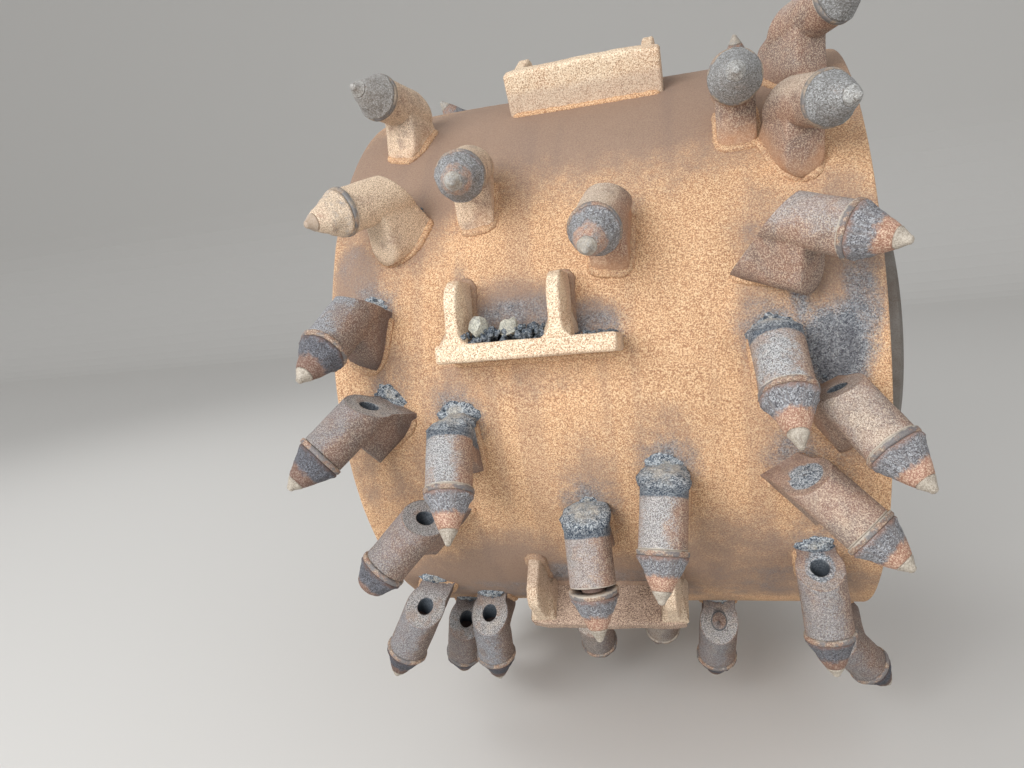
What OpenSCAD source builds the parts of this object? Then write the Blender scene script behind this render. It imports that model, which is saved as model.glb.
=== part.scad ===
// Milling drum of a small cold planer, with its hub drive and its free end bearing.
// X runs along the drum from the drive end, +Z is up, and the origin is the centre of
// the drive flange's outer face. Seen from -Y the drum cuts downwards.

/* [Shell] */
// Outside diameter of the drum shell
shell_d = 560; // [540:2:580]
// Wall of the drum shell
shell_wall = 24; // [18:1:30]
// Length of the drum shell
shell_len = 446; // [440:1:470]
// From each side plate of the machine to the shell's rim
rim_gap = 39; // [34:1:46]

/* [Pick holders] */
// Height of a new pick's tip over the shell
tip_rise = 88; // [82:0.5:92]
// Angle between a pick and the cutting direction, in degrees
attack = 49; // [45:0.5:52]
// Outside diameter of a holder's sleeve
sleeve_d = 38; // [34:0.5:40]
// Length of a sleeve on its axis
sleeve_len = 54; // [50:1:58]
// Slope of a sleeve's rear face, in degrees
rear_slope = 35; // [28:1:38]
// Bore for the pick's shank
shank_bore_d = 20; // [18:0.5:22]
// Knock-out hole at a sleeve's rear
knock_d = 15; // [12:0.5:17]
// Length of the knock-out hole, on the sleeve's axis
knock_len = 10; // [8:1:12]
// Width of a holder's foot
foot_w = 31; // [26:1:34]
// How far a foot's toe reaches under the shell's surface
foot_sink = 4.2; // [2:0.1:8]
// From the sleeve's front face back to the foot's
foot_back = 26; // [22:1:30]

/* [Picks] */
// A new pick's tip to its holder's front face
head_len = 46; // [44:1:50]
// Diameter of the wear washer
washer_d = 41; // [39:0.5:43]
// Thickness of the wear washer
washer_t = 4.5; // [3:0.5:6]
// Diameter of the pick's collar
collar_d = 39.5; // [36:0.5:42]
// Diameter of the pick's cone behind the shoulder
cone_d = 24; // [20:0.5:27]
// Diameter of the carbide tip
tip_d = 14.6; // [12:0.2:17]
// Length of a new carbide tip
tip_len = 13; // [11:0.5:15]
// Diameter of the shank
shank_d = 19.6; // [17.4:0.1:19.8]
// Length of the shank
shank_len = 40; // [34:1:42]

/* [Ejector paddles] */
// Length of a paddle along the drum
paddle_len = 144; // [130:1:156]
// Height of a paddle above the shell
paddle_h = 41; // [36:1:48]
// Thickness of a paddle
paddle_t = 12; // [10:0.5:16]
// Thickness of a gusset
gusset_t = 11; // [8:0.5:14]
// Length of a gusset behind its paddle
gusset_len = 54; // [44:1:58]
// Height of a gusset above the shell
gusset_h = 37; // [30:1:40]

/* [Drive end] */
// From the drive flange's bolt circle to its rim
flange_rim = 18; // [16:1:22]
// Thickness of the fixed drive flange
flange_t = 24; // [20:1:26]
// Bolt circle of the drive flange
flange_circle = 254; // [246:2:262]
// Bolts in the drive flange
flange_bolts = 12; // [8:2:16]
// Bolt holes in the drive flange and in the free end's flange
bolt_hole_d = 17.5; // [15.5:0.5:19.5]
// Pilot bore for the hydraulic motor
pilot_d = 127; // [120:1:140]
// Depth of the motor's pilot bore
pilot_depth = 12; // [8:1:16]
// Splined socket for the motor's shaft
socket_d = 44; // [36:1:52]
// Depth of the socket below the pilot
socket_depth = 60; // [50:1:70]
// Diameter of the fixed neck that carries the gear case
neck_d = 190; // [180:2:200]
// Length of the fixed neck
neck_len = 44; // [40:1:50]
// Diameter of the fixed hub inside the gear case
hub_d = 120; // [100:2:130]
// Length of the fixed hub past the neck
hub_len = 76; // [60:1:84]
// Wall of the turning gear case
case_wall = 27; // [22:1:30]
// Thickness of the gear case's cover
cover_t = 14; // [10:1:18]
// Diameter of the gear case's flange
case_flange_d = 350; // [340:2:370]
// Thickness of the gear case's flange
case_flange_t = 20; // [16:1:24]
// Thickness of the ring plates welded into the shell
web_t = 20; // [16:1:24]
// From the side plate to the drive ring plate
drive_web_at = 100; // [96:1:110]

/* [Free end] */
// From the spindle flange's bolt circle to its rim
spindle_rim = 22; // [16:1:24]
// Thickness of the spindle's flange
spindle_flange_t = 22; // [18:1:26]
// Bolt circle of the spindle's flange
spindle_circle = 216; // [206:2:226]
// Bolts in the spindle's flange
spindle_bolts = 8; // [6:2:12]
// Diameter of the spindle in its bearing
spindle_d = 90; // [80:1:96]
// Diameter of the spindle's shoulder
shoulder_d = 110; // [106:1:114]
// Outside diameter of the bearing
bearing_d = 140; // [134:1:150]
// Length of the bearing
bearing_len = 54; // [46:1:58]
// Wall of the bearing housing
housing_wall = 18; // [14:1:24]
// Diameter of the housing's flange
housing_flange_d = 264; // [256:2:280]
// From the housing's bolt circle to its flange's rim
housing_rim = 18; // [16:1:20]
// Thickness of the housing's flange
housing_flange_t = 18; // [14:1:22]
// From the side plate to the free end's ring plate
free_web_at = 104; // [98:1:112]

/* [Hardware] */
// Thread diameter of the bolts inside the drum
bolt_d = 16; // [12:1:18]
// Bolts that hold the gear case
case_bolts = 12; // [8:2:16]
// Bolts that hold the bearing housing
housing_bolts_n = 8; // [6:2:12]
// Small screws in each cover
cover_screws = 8; // [6:1:12]

/* [Clearances] */
// Gap between turning and fixed pieces
run_gap = 6; // [5:0.5:8]
// Radial clearance of a running fit
fit_gap = 0.05; // [0.02:0.01:0.1]
// Gap of a curved seat, such as a weld
seat_gap = 0.15; // [0.1:0.05:0.3]

/* [Hidden] */

shell_r = shell_d / 2;
shell_bore_r = shell_r - shell_wall;
middle_x = rim_gap + shell_len / 2;
span = 2 * middle_x;
cut_r = shell_r + tip_rise;

// From the sleeve's axis to the round of the foot, so that the toe meets the shell.
foot_drop = (tip_rise - (head_len + foot_back) * sin(attack)) / cos(attack) - foot_w / 2 + foot_sink;

// The tables below are written for a shell 446 long and paddles 144 long, and follow both.
spread = shell_len / 446;
paddle_spread = paddle_len / 144;

// Columns: tip's place along X from the shell's middle, tip's angle up from the -Y side,
// skew of the pick towards +X, millimetres worn off the tip.
edge_left = concat(
    [[-188, 48, -12, 6], [-206, 24.5, -31, 8], [-211, 5, -16, 7], [-238, -8.5, -38, 8],
     [-212, -26.5, -42, 17], [-242, -54.5, -30, 8], [-208, -73, -16, 8]],
    [for (i = [0:7]) [i % 2 == 0 ? -242 : -214, 114 + 22 * i, i % 2 == 0 ? -36 : -20, 4 + 2 * (i % 3)]]);
inner_left = concat(
    [[-149, -66, -4, 8], [-107, -16, 4, 1], [-80, 27.5, 6, 6], [-6, -33.5, 4, 4], [-54, -84, 0, 9]],
    [for (i = [0:3]) [24 * i - 144, 128 + 44.5 * i, 3, 5 + i]],
    [for (i = [0:1]) [26 * i - 60, 139 + 64 * i, 3, 6]]);
inner_right = concat(
    [[18, 17, -5, 6], [48, -26.5, -4, 5], [73, -76.5, -6, 8], [128, 37.5, 0, 7], [151, -5, 5, 0],
     [178, -45, 5, 8]],
    [for (i = [0:3]) [142 - 20 * i, 109 + 43 * i, -3, 4 + i]],
    [for (i = [0:2]) [60 - 24 * i, 152 + 58 * i, -3, 6]]);
edge_right = concat(
    [[248, -74, 34, 8], [226, -21, 43, 8], [234, -11, 32, 6], [228, 14.5, 52, 6], [207, 31, 25, 7],
     [233, 52, 35, 8]],
    [for (i = [0:7]) [i % 2 == 0 ? 242 : 212, 96 + 22 * i, i % 2 == 0 ? 38 : 20, 5 + 2 * (i % 3)]]);

// Columns: angle up from the -Y side, middle along X from the shell's middle, and the
// places of its two gussets along X from the paddle's own middle.
paddles = [[62.5, -3, -60, 60], [7.5, -41, -57, 26], [-47, -14, -60, 62],
           [-110, -8, -60, 60], [-172, -8, -60, 60], [125, -8, -60, 60]];

flange_d = flange_circle + 2 * flange_rim;
spindle_flange_d = spindle_circle + 2 * spindle_rim;

// Stations of the drive end, from the side plate inwards.
neck_end = flange_t + neck_len;
hub_end = neck_end + hub_len;
case_r = neck_d / 2 + case_wall;
case_front = flange_t + run_gap;
case_end = hub_end + run_gap;
journal_len = neck_len / 2;
case_bolt_r = (case_r + case_flange_d / 2) / 2;

// Stations of the free end, from the other side plate inwards.
housing_r = bearing_d / 2 + housing_wall;
housing_front = spindle_flange_t + 2 * run_gap + 32;
bearing_front = housing_front + 9;
spindle_end = bearing_front + bearing_len + 1;
housing_end = spindle_end + run_gap;
housing_bolt_r = housing_flange_d / 2 - housing_rim;
free_flange_at = free_web_at - housing_flange_t;

// Hexagon sizes that go with the bolts.
head_af = 1.5 * bolt_d;
head_h = 0.63 * bolt_d;
nut_h = 0.8 * bolt_d;
screw_d = 10;
screw_len = 8;

// Profile of radius against station, turned about the drum's axis.
module turned(profile) rotate([0, 90, 0]) rotate_extrude($fn = 120) polygon(profile);

// The same, with stations counted inwards from the free end's side plate.
module turned_free(profile) translate([span, 0, 0]) mirror([1, 0, 0]) turned(profile);

// Children at equal steps round the drum's axis, the first one a share of a step from +Z.
module ring_of(count, radius, first = 0.5) for (i = [0:count - 1])
    rotate([360 * (i + first) / count, 0, 0]) translate([0, 0, radius]) rotate([0, 90, 0]) children();

module hexagon(af, h) cylinder(d = af / cos(30), h = h, $fn = 6);

module shell_cylinder(r) translate([rim_gap - 1, 0, 0]) rotate([0, 90, 0])
    cylinder(r = r, h = shell_len + 2, $fn = 180);

// A pick's own frame: +Z along the pick with a new tip at 0, +Y away from the shell.
module at_pick(row) translate([middle_x + spread * row[0], 0, 0]) rotate([-row[1], 0, 0])
    translate([0, -cut_r, 0]) rotate([180 - attack, 0, 0]) rotate([0, row[2], 0]) children();

// A paddle's own frame: -Y away from the shell, +Z towards its trailing side.
module at_paddle(row) translate([middle_x + spread * row[1], 0, 0]) rotate([-row[0], 0, 0]) children();

module drive_flange() {
    color("dimgray") difference() {
        turned([[socket_d / 2, pilot_depth], [pilot_d / 2, pilot_depth], [pilot_d / 2, 0], [flange_d / 2 - 3, 0],
                [flange_d / 2, 3], [flange_d / 2, flange_t], [neck_d / 2, flange_t],
                [neck_d / 2, neck_end], [hub_d / 2, neck_end], [hub_d / 2, hub_end], [0, hub_end],
                [0, pilot_depth + socket_depth], [socket_d / 2, pilot_depth + socket_depth]]);
        translate([-1, 0, 0]) ring_of(flange_bolts, flange_circle / 2)
            cylinder(d = bolt_hole_d, h = flange_t + 2, $fn = 32);
    }
}

module free_spindle() {
    color("gray") difference() {
        turned_free([[0, 0], [spindle_flange_d / 2 - 3, 0], [spindle_flange_d / 2, 3],
                     [spindle_flange_d / 2, spindle_flange_t], [shoulder_d / 2, spindle_flange_t],
                     [shoulder_d / 2, bearing_front - 1], [spindle_d / 2, bearing_front - 1],
                     [spindle_d / 2, spindle_end - 3], [spindle_d / 2 - 3, spindle_end], [0, spindle_end]]);
        translate([span - spindle_flange_t - 1, 0, 0]) ring_of(spindle_bolts, spindle_circle / 2)
            cylinder(d = bolt_hole_d, h = spindle_flange_t + 2, $fn = 32);
    }
}

module shell() {
    color("chocolate") turned([[shell_bore_r, rim_gap], [shell_r - 2, rim_gap], [shell_r, rim_gap + 2],
        [shell_r, rim_gap + shell_len - 2], [shell_r - 2, rim_gap + shell_len],
        [shell_bore_r, rim_gap + shell_len]]);
}

module drive_web() {
    color("sienna") difference() {
        turned([[case_r + 2, drive_web_at], [shell_bore_r - seat_gap, drive_web_at],
                [shell_bore_r - seat_gap, drive_web_at + web_t], [case_r + 2, drive_web_at + web_t]]);
        translate([drive_web_at - 1, 0, 0]) ring_of(case_bolts, case_bolt_r)
            cylinder(d = bolt_d + 1.5, h = web_t + 2, $fn = 32);
    }
}

module gear_case() {
    color("dimgray") turned([[neck_d / 2 + fit_gap, case_front], [case_r - 4, case_front],
        [case_r, case_front + 4], [case_r, case_end], [hub_d / 2 + run_gap, case_end],
        [hub_d / 2 + run_gap, neck_end + run_gap], [neck_d / 2 + run_gap, neck_end + run_gap],
        [neck_d / 2 + run_gap, case_front + journal_len], [neck_d / 2 + fit_gap, case_front + journal_len]]);
}

// Ring welded round the gear case, bolted to the drive end's web.
module case_flange() {
    front = drive_web_at - case_flange_t;
    color("dimgray") difference() {
        turned([[case_r + seat_gap, front], [case_flange_d / 2 - 2, front], [case_flange_d / 2, front + 2],
                [case_flange_d / 2, drive_web_at], [case_r + seat_gap, drive_web_at]]);
        translate([front - 1, 0, 0]) ring_of(case_bolts, case_bolt_r)
            cylinder(d = bolt_d + 1.5, h = case_flange_t + 2, $fn = 32);
    }
}

module gear_cover() {
    color("dimgray") turned([[0, case_end], [case_r, case_end], [case_r, case_end + cover_t - 3],
        [case_r - 3, case_end + cover_t], [hub_d / 2, case_end + cover_t],
        [hub_d / 2 - 4, case_end + cover_t + 4], [0, case_end + cover_t + 4]]);
}

// Bolt through two plates: head at one side, nut at the other.
module through_bolt(grip) {
    translate([0, 0, -head_h]) hexagon(head_af, head_h);
    cylinder(d = bolt_d, h = grip + nut_h + 4, $fn = 32);
    translate([0, 0, grip]) hexagon(head_af, nut_h);
}

module case_bolts_ring() {
    color("darkgray") translate([drive_web_at - case_flange_t, 0, 0])
        ring_of(case_bolts, case_bolt_r) through_bolt(case_flange_t + web_t);
}

module free_web() {
    color("sienna") difference() {
        turned_free([[housing_r + 2, free_web_at], [shell_bore_r - seat_gap, free_web_at],
                     [shell_bore_r - seat_gap, free_web_at + web_t], [housing_r + 2, free_web_at + web_t]]);
        translate([span - free_web_at - web_t - 1, 0, 0]) ring_of(housing_bolts_n, housing_bolt_r, 0)
            cylinder(d = bolt_d + 1.5, h = web_t + 2, $fn = 32);
    }
}

module bearing_housing() {
    color("dimgray") difference() {
        turned_free([[shoulder_d / 2 + run_gap, housing_front], [housing_r - 3, housing_front],
                     [housing_r, housing_front + 3], [housing_r, free_flange_at],
                     [housing_flange_d / 2, free_flange_at], [housing_flange_d / 2, free_web_at],
                     [housing_r, free_web_at], [housing_r, housing_end], [bearing_d / 2, housing_end],
                     [bearing_d / 2, bearing_front], [shoulder_d / 2 + run_gap, bearing_front]]);
        translate([span - free_web_at - 1, 0, 0]) ring_of(housing_bolts_n, housing_bolt_r, 0)
            cylinder(d = bolt_d + 1.5, h = housing_flange_t + 2, $fn = 32);
    }
}

module bearing_ring() {
    color("silver") turned_free([[spindle_d / 2 + fit_gap, bearing_front],
        [bearing_d / 2 - seat_gap, bearing_front], [bearing_d / 2 - seat_gap, bearing_front + bearing_len],
        [spindle_d / 2 + fit_gap, bearing_front + bearing_len]]);
}

module bearing_cover() {
    color("dimgray") turned_free([[0, housing_end], [housing_r, housing_end],
        [housing_r, housing_end + cover_t - 3], [housing_r - 3, housing_end + cover_t],
        [0, housing_end + cover_t]]);
}

module housing_bolts_ring() {
    color("darkgray") translate([span - free_flange_at, 0, 0]) mirror([1, 0, 0])
        ring_of(housing_bolts_n, housing_bolt_r, 0) through_bolt(housing_flange_t + web_t);
}

module cover_screws_ring() {
    color("darkgray") {
        translate([case_end + cover_t, 0, 0]) ring_of(cover_screws, case_r - case_wall / 2)
            hexagon(screw_d * 1.6, screw_len);
        translate([span - housing_end - cover_t, 0, 0]) mirror([1, 0, 0])
            ring_of(cover_screws, housing_r - housing_wall / 2) hexagon(screw_d, screw_len);
    }
}

module paddle_plates() {
    color("peru") for (row = paddles) difference() {
        at_paddle(row) translate([-paddle_len / 2, -shell_r - paddle_h, -paddle_t / 2])
            cube([paddle_len, paddle_h + shell_wall / 2, paddle_t]);
        shell_cylinder(shell_r + seat_gap);
    }
}

// Upright plate with a rounded back end, between the paddle and the shell.
module gusset() {
    round_r = gusset_h / 2;
    rotate([0, 90, 0]) rotate([0, 0, 180]) linear_extrude(gusset_t, center = true) {
        square([gusset_len - round_r, shell_r + gusset_h]);
        translate([gusset_len - round_r, shell_r + gusset_h - round_r]) circle(round_r, $fn = 48);
        translate([gusset_len - round_r - 1, 0]) square([round_r + 1, shell_r + gusset_h - round_r]);
    }
}

module paddle_gussets() {
    color("peru") for (row = paddles) for (side = [2, 3]) difference() {
        at_paddle(row) translate([paddle_spread * row[side], 0, paddle_t / 2]) gusset();
        shell_cylinder(shell_r + seat_gap);
    }
}

// Welded holder: a sleeve on a narrower foot with a round underside.
module holder(row) {
    front = -head_len;
    rear = front - sleeve_len;
    reach = sleeve_len + sleeve_d;
    difference() {
        at_pick(row) difference() {
            union() {
                translate([0, 0, front - reach]) cylinder(d = sleeve_d, h = reach - 1, $fn = 64);
                translate([0, 0, front - 1]) cylinder(d1 = sleeve_d, d2 = sleeve_d - 2, h = 1, $fn = 64);
                translate([0, 0, front - reach]) linear_extrude(reach - foot_back) {
                    translate([-foot_w / 2, -foot_drop]) square([foot_w, foot_drop]);
                    translate([0, -foot_drop]) circle(d = foot_w, $fn = 48);
                }
            }
            translate([0, 0, rear + knock_len]) cylinder(d = shank_bore_d, h = sleeve_len, $fn = 48);
            translate([0, 0, front - reach - 1]) cylinder(d = knock_d, h = reach, $fn = 48);
            translate([0, 0, rear]) rotate([rear_slope, 0, 0]) translate([-reach, -reach, -reach])
                cube([2 * reach, 2 * reach, reach]);
        }
        shell_cylinder(shell_r + seat_gap);
    }
}

// Steel body of a pick: shank, collar, shoulder and cone up to the carbide tip.
module pick(row) {
    seat = -row[3] - max(0, tip_len - row[3] / 2);
    under = washer_t - head_len;
    at_pick(row) rotate_extrude($fn = 64) polygon([
        [0, -head_len - shank_len], [shank_d / 2 - 2, -head_len - shank_len],
        [shank_d / 2, -head_len - shank_len + 2], [shank_d / 2, under], [collar_d / 2, under],
        [collar_d / 2, under + 2.5], [cone_d / 2 + 0.8, under + 15], [cone_d / 2, under + 16],
        [cone_d / 2, under + 17], [tip_d / 2, seat], [0, seat]]);
}

module washer(row) {
    at_pick(row) translate([0, 0, -head_len]) difference() {
        union() {
            cylinder(d = washer_d, h = washer_t - 1.2, $fn = 64);
            translate([0, 0, washer_t - 1.2]) cylinder(d1 = washer_d, d2 = washer_d - 2.4, h = 1.2, $fn = 64);
        }
        translate([0, 0, -1]) cylinder(d = shank_bore_d + 1, h = washer_t + 2, $fn = 48);
    }
}

// Brazed carbide tip, shorter by half of what is worn off.
module tip(row) {
    len = tip_len - row[3] / 2;
    top = -row[3];
    nose_r = tip_d * 0.24;
    if (len > 5) at_pick(row) rotate_extrude($fn = 48) polygon([
        [0, top - len], [tip_d / 2, top - len], [tip_d / 2, top - len + 1.5], [nose_r, top - nose_r * 0.6],
        [nose_r * 0.72, top - nose_r * 0.22], [nose_r * 0.35, top - nose_r * 0.04], [0, top]]);
}

module holders_edge_left() { color("rosybrown") for (row = edge_left) holder(row); }
module holders_inner_left() { color("rosybrown") for (row = inner_left) holder(row); }
module holders_inner_right() { color("rosybrown") for (row = inner_right) holder(row); }
module holders_edge_right() { color("rosybrown") for (row = edge_right) holder(row); }
module picks_edge_left() { color("slategray") for (row = edge_left) pick(row); }
module picks_inner_left() { color("slategray") for (row = inner_left) pick(row); }
module picks_inner_right() { color("slategray") for (row = inner_right) pick(row); }
module picks_edge_right() { color("slategray") for (row = edge_right) pick(row); }
module washers_edge_left() { color("saddlebrown") for (row = edge_left) washer(row); }
module washers_inner_left() { color("saddlebrown") for (row = inner_left) washer(row); }
module washers_inner_right() { color("saddlebrown") for (row = inner_right) washer(row); }
module washers_edge_right() { color("saddlebrown") for (row = edge_right) washer(row); }
module tips_edge_left() { color("lightgray") for (row = edge_left) tip(row); }
module tips_inner_left() { color("lightgray") for (row = inner_left) tip(row); }
module tips_inner_right() { color("lightgray") for (row = inner_right) tip(row); }
module tips_edge_right() { color("lightgray") for (row = edge_right) tip(row); }

drive_flange();
free_spindle();
shell();
drive_web();
gear_case();
case_flange();
gear_cover();
case_bolts_ring();
free_web();
bearing_housing();
bearing_ring();
bearing_cover();
housing_bolts_ring();
cover_screws_ring();
paddle_plates();
paddle_gussets();
holders_edge_left();
holders_inner_left();
holders_inner_right();
holders_edge_right();
picks_edge_left();
picks_inner_left();
picks_inner_right();
picks_edge_right();
washers_edge_left();
washers_inner_left();
washers_inner_right();
washers_edge_right();
tips_edge_left();
tips_inner_left();
tips_inner_right();
tips_edge_right();
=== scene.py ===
from collections import namedtuple

import bpy
import numpy as np
from mathutils import Matrix


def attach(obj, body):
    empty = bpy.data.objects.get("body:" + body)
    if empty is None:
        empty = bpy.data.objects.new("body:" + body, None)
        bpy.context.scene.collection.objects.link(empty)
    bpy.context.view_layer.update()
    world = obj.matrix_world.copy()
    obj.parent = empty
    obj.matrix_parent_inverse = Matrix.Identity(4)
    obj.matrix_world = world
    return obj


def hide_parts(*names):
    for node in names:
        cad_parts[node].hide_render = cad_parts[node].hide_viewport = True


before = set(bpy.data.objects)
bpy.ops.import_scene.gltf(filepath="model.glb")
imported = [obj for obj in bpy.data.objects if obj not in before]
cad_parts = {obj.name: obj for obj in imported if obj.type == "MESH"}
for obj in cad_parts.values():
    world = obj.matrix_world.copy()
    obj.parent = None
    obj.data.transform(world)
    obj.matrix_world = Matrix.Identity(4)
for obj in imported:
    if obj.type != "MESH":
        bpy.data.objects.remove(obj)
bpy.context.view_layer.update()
scene = bpy.context.scene
scene.view_settings.view_transform = "Standard"

# the drum's own sizes, in metres and degrees, as part.scad has them
drum = dict(
    shellR=0.280, boreR=0.256, rimGap=0.039, shellLen=0.446, middleX=0.262,
    cutR=0.368, attack=49.0,
)

# A pick's row: its tip's x from the drum's middle in mm, the tip's angle, its skew, its wear in mm,
# then three looks from 0 to 1: grey dust, dirt behind the sleeve and sandy dust on top.
pickRow = namedtuple("pickRow", "x angle skew wear tone dirt sandy")

# A paddle's row: its angle, its middle's x and its gussets' x in mm, and how dusty it is from 0 to 1.
paddleRow = namedtuple("paddleRow", "angle x gussets dust")


# the picks round the back of an edge
backEdge = dict(count=8, angleStep=22, wearStep=2, tone=0.3, toneStep=0.1, dirt=0.4, sandy=0.3)


# Picks round the back of one edge, which stand in and out by turns.
def edgeRun(xs, angle, skews, wear, cfg=backEdge):
    return [[xs[i % 2], angle + cfg["angleStep"] * i, skews[i % 2], wear + cfg["wearStep"] * (i % 3),
             cfg["tone"] + cfg["toneStep"] * (i % 4), cfg["dirt"], cfg["sandy"]] for i in range(cfg["count"])]


# Picks round the back between the edges, with even steps along the drum and round it.
def innerRun(count, x, xStep, angle, angleStep, skew, wear, wearStep, looks):
    return [[x + xStep * i, angle + angleStep * i, skew, wear + wearStep * i, *looks] for i in range(count)]


pickTable = {
    "edge_left": [
        [-188, 48, -12, 6, 0.9, 0.3, 0.82], [-206, 24.5, -31, 8, 0.1, 0.3, 0.9],
        [-211, 5, -16, 7, 0.9, 0.8, 0.05], [-238, -8.5, -38, 8, 0.5, 0.5, 0.15],
        [-212, -26.5, -42, 17, 0.45, 0.2, 0.05], [-242, -54.5, -30, 8, 0.65, 0.3, 0.1],
        [-208, -73, -16, 8, 0.35, 0.3, 0.05],
    ] + edgeRun((-242, -214), 114, (-36, -20), 4),
    "inner_left": [
        [-149, -66, -4, 8, 0.85, 0.3, 0.15], [-107, -16, 4, 1, 0.95, 0.9, 0.1],
        [-80, 27.5, 6, 6, 0.3, 0.2, 0.8], [-6, -33.5, 4, 4, 0.6, 0.9, 0.1],
        [-54, -84, 0, 9, 0.5, 0.2, 0.3],
    ] + innerRun(4, -144, 24, 128, 44.5, 3, 5, 1, (0.5, 0.5, 0.3))
      + innerRun(2, -60, 26, 139, 64, 3, 6, 0, (0.6, 0.4, 0.3)),
    "inner_right": [
        [18, 17, -5, 6, 0.6, 0.3, 0.55], [48, -26.5, -4, 5, 0.85, 1.0, 0.1],
        [73, -76.5, -6, 8, 0.6, 0.2, 0.15], [128, 37.5, 0, 7, 0.3, 0.2, 0.5],
        [151, -5, 5, 0, 1.0, 1.0, 0.1], [178, -45, 5, 8, 0.6, 0.6, 0.15],
    ] + innerRun(4, 142, -20, 109, 43, -3, 4, 1, (0.5, 0.5, 0.3))
      + innerRun(3, 60, -24, 152, 58, -3, 6, 0, (0.6, 0.4, 0.3)),
    "edge_right": [
        [248, -74, 34, 8, 0.5, 0.3, 0.2], [226, -21, 43, 8, 0.15, 0.85, 0.22],
        [234, -11, 32, 6, 0.4, 0.4, 0.3], [228, 14.5, 52, 6, 0.5, 0.3, 0.1],
        [207, 31, 25, 7, 0.3, 0.3, 0.4], [233, 52, 35, 8, 0.3, 0.3, 0.25],
    ] + edgeRun((242, 212), 96, (38, 20), 5),
}
pickRows = {zone: [pickRow(*row) for row in rows] for zone, rows in pickTable.items()}
allRows = [row for rows in pickRows.values() for row in rows]
paddleRows = [
    paddleRow(62.5, -3, (-60, 60), 0.1), paddleRow(7.5, -41, (-57, 26), 0.05),
    paddleRow(-47, -14, (-60, 62), 0.55), paddleRow(-110, -8, (-60, 60), 0.4),
    paddleRow(-172, -8, (-60, 60), 0.3), paddleRow(125, -8, (-60, 60), 0.4),
]


def turnX(degrees):
    a = np.radians(degrees)
    return np.array([[1, 0, 0], [0, np.cos(a), -np.sin(a)], [0, np.sin(a), np.cos(a)]])


def turnY(degrees):
    a = np.radians(degrees)
    return np.array([[np.cos(a), 0, np.sin(a)], [0, 1, 0], [-np.sin(a), 0, np.cos(a)]])


def unit(vectors):
    return vectors / (np.linalg.norm(vectors, axis=-1, keepdims=True) + 1e-12)


# 3t^2 - 2t^3 of the share t of the way from low to high.
def smooth(low, high, value):
    t = np.clip((value - low) / (high - low), 0, 1)
    return t * t * (3 - 2 * t)


# bluish bitumen film: how much a row carries where it hangs low, at the left rim and round the back
film = dict(
    low=0.75, lowFrom=(28, 58), lowest=-90, rim=0.6, rimX=(190, 215), rimFrom=(-20, -5), rimReach=60,
    back=0.25, backFrom=95,
)


def filmOn(row, cfg=film):
    low = cfg["low"] * smooth(*cfg["lowFrom"], -row.angle) if row.angle > cfg["lowest"] else 0.0
    rim = cfg["rim"] * smooth(*cfg["rimX"], -row.x) * smooth(*cfg["rimFrom"], -row.angle)
    rim = rim if abs(row.angle) < cfg["rimReach"] else 0.0
    back = cfg["back"] if row.angle > cfg["backFrom"] else 0.0
    return float(max(low, rim, back))


# The tip's point and the axes of a pick: +Z towards the tip, +Y away from the shell.
def pickFrame(row):
    outer = turnX(-row.angle)
    tip = np.array([drum["middleX"] + row.x / 1000, 0, 0]) + outer @ np.array([0, -drum["cutR"], 0])
    return tip, outer @ turnX(180 - drum["attack"]) @ turnY(row.skew)


def onPick(points, row):
    tip, axes = pickFrame(row)
    return points @ axes.T + tip


# A paddle's middle on the drum's axis, and its axes: X along it, -Y away from the shell, +Z behind it.
def paddleFrame(row):
    return np.array([drum["middleX"] + row.x / 1000, 0, 0]), turnX(-row.angle)


def onPaddle(points, row):
    middle, axes = paddleFrame(row)
    return points @ axes.T + middle


# Moves points along their own radius about X by the given scale.
def scaleRadius(points, scale):
    return points * np.stack([np.ones_like(scale), scale, scale], -1)


def radiusOf(points):
    return np.hypot(points[..., 1], points[..., 2])


hashPrimes = (73856093, 19349663, 83492791)
hashSize = 4096  # a power of two, so that a bit mask brings a key into the table


# Smooth value noise in -1..1: random values on a lattice of the given cell, blended
# between the 8 corners with 3t^2 - 2t^3.
def noise3(points, cell, seed):
    table = np.random.default_rng(seed).uniform(-1, 1, hashSize)
    q = np.asarray(points) / cell
    base = np.floor(q).astype(np.int64)
    t = smooth(0, 1, q - base)
    total = 0.0
    for corner in np.ndindex(2, 2, 2):
        keys = (base + corner) * hashPrimes
        key = (keys[..., 0] ^ keys[..., 1] ^ keys[..., 2]) & (hashSize - 1)
        total = total + table[key] * np.where(corner, t, 1 - t).prod(-1)
    return total


# The sum of some noises, each given as its amount, cell and seed.
def layeredNoise(points, layers):
    return sum(amount * noise3(points, cell, seed) for amount, cell, seed in layers)


# What moves the nth copy of a shape through the noise, so that no two are alike.
def noiseShift(n, cfg):
    return n * np.array([*cfg["noiseShift"], 0])


def newStore():
    return dict(points=[], quads=[], tris=[], layers={}, count=0)


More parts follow.
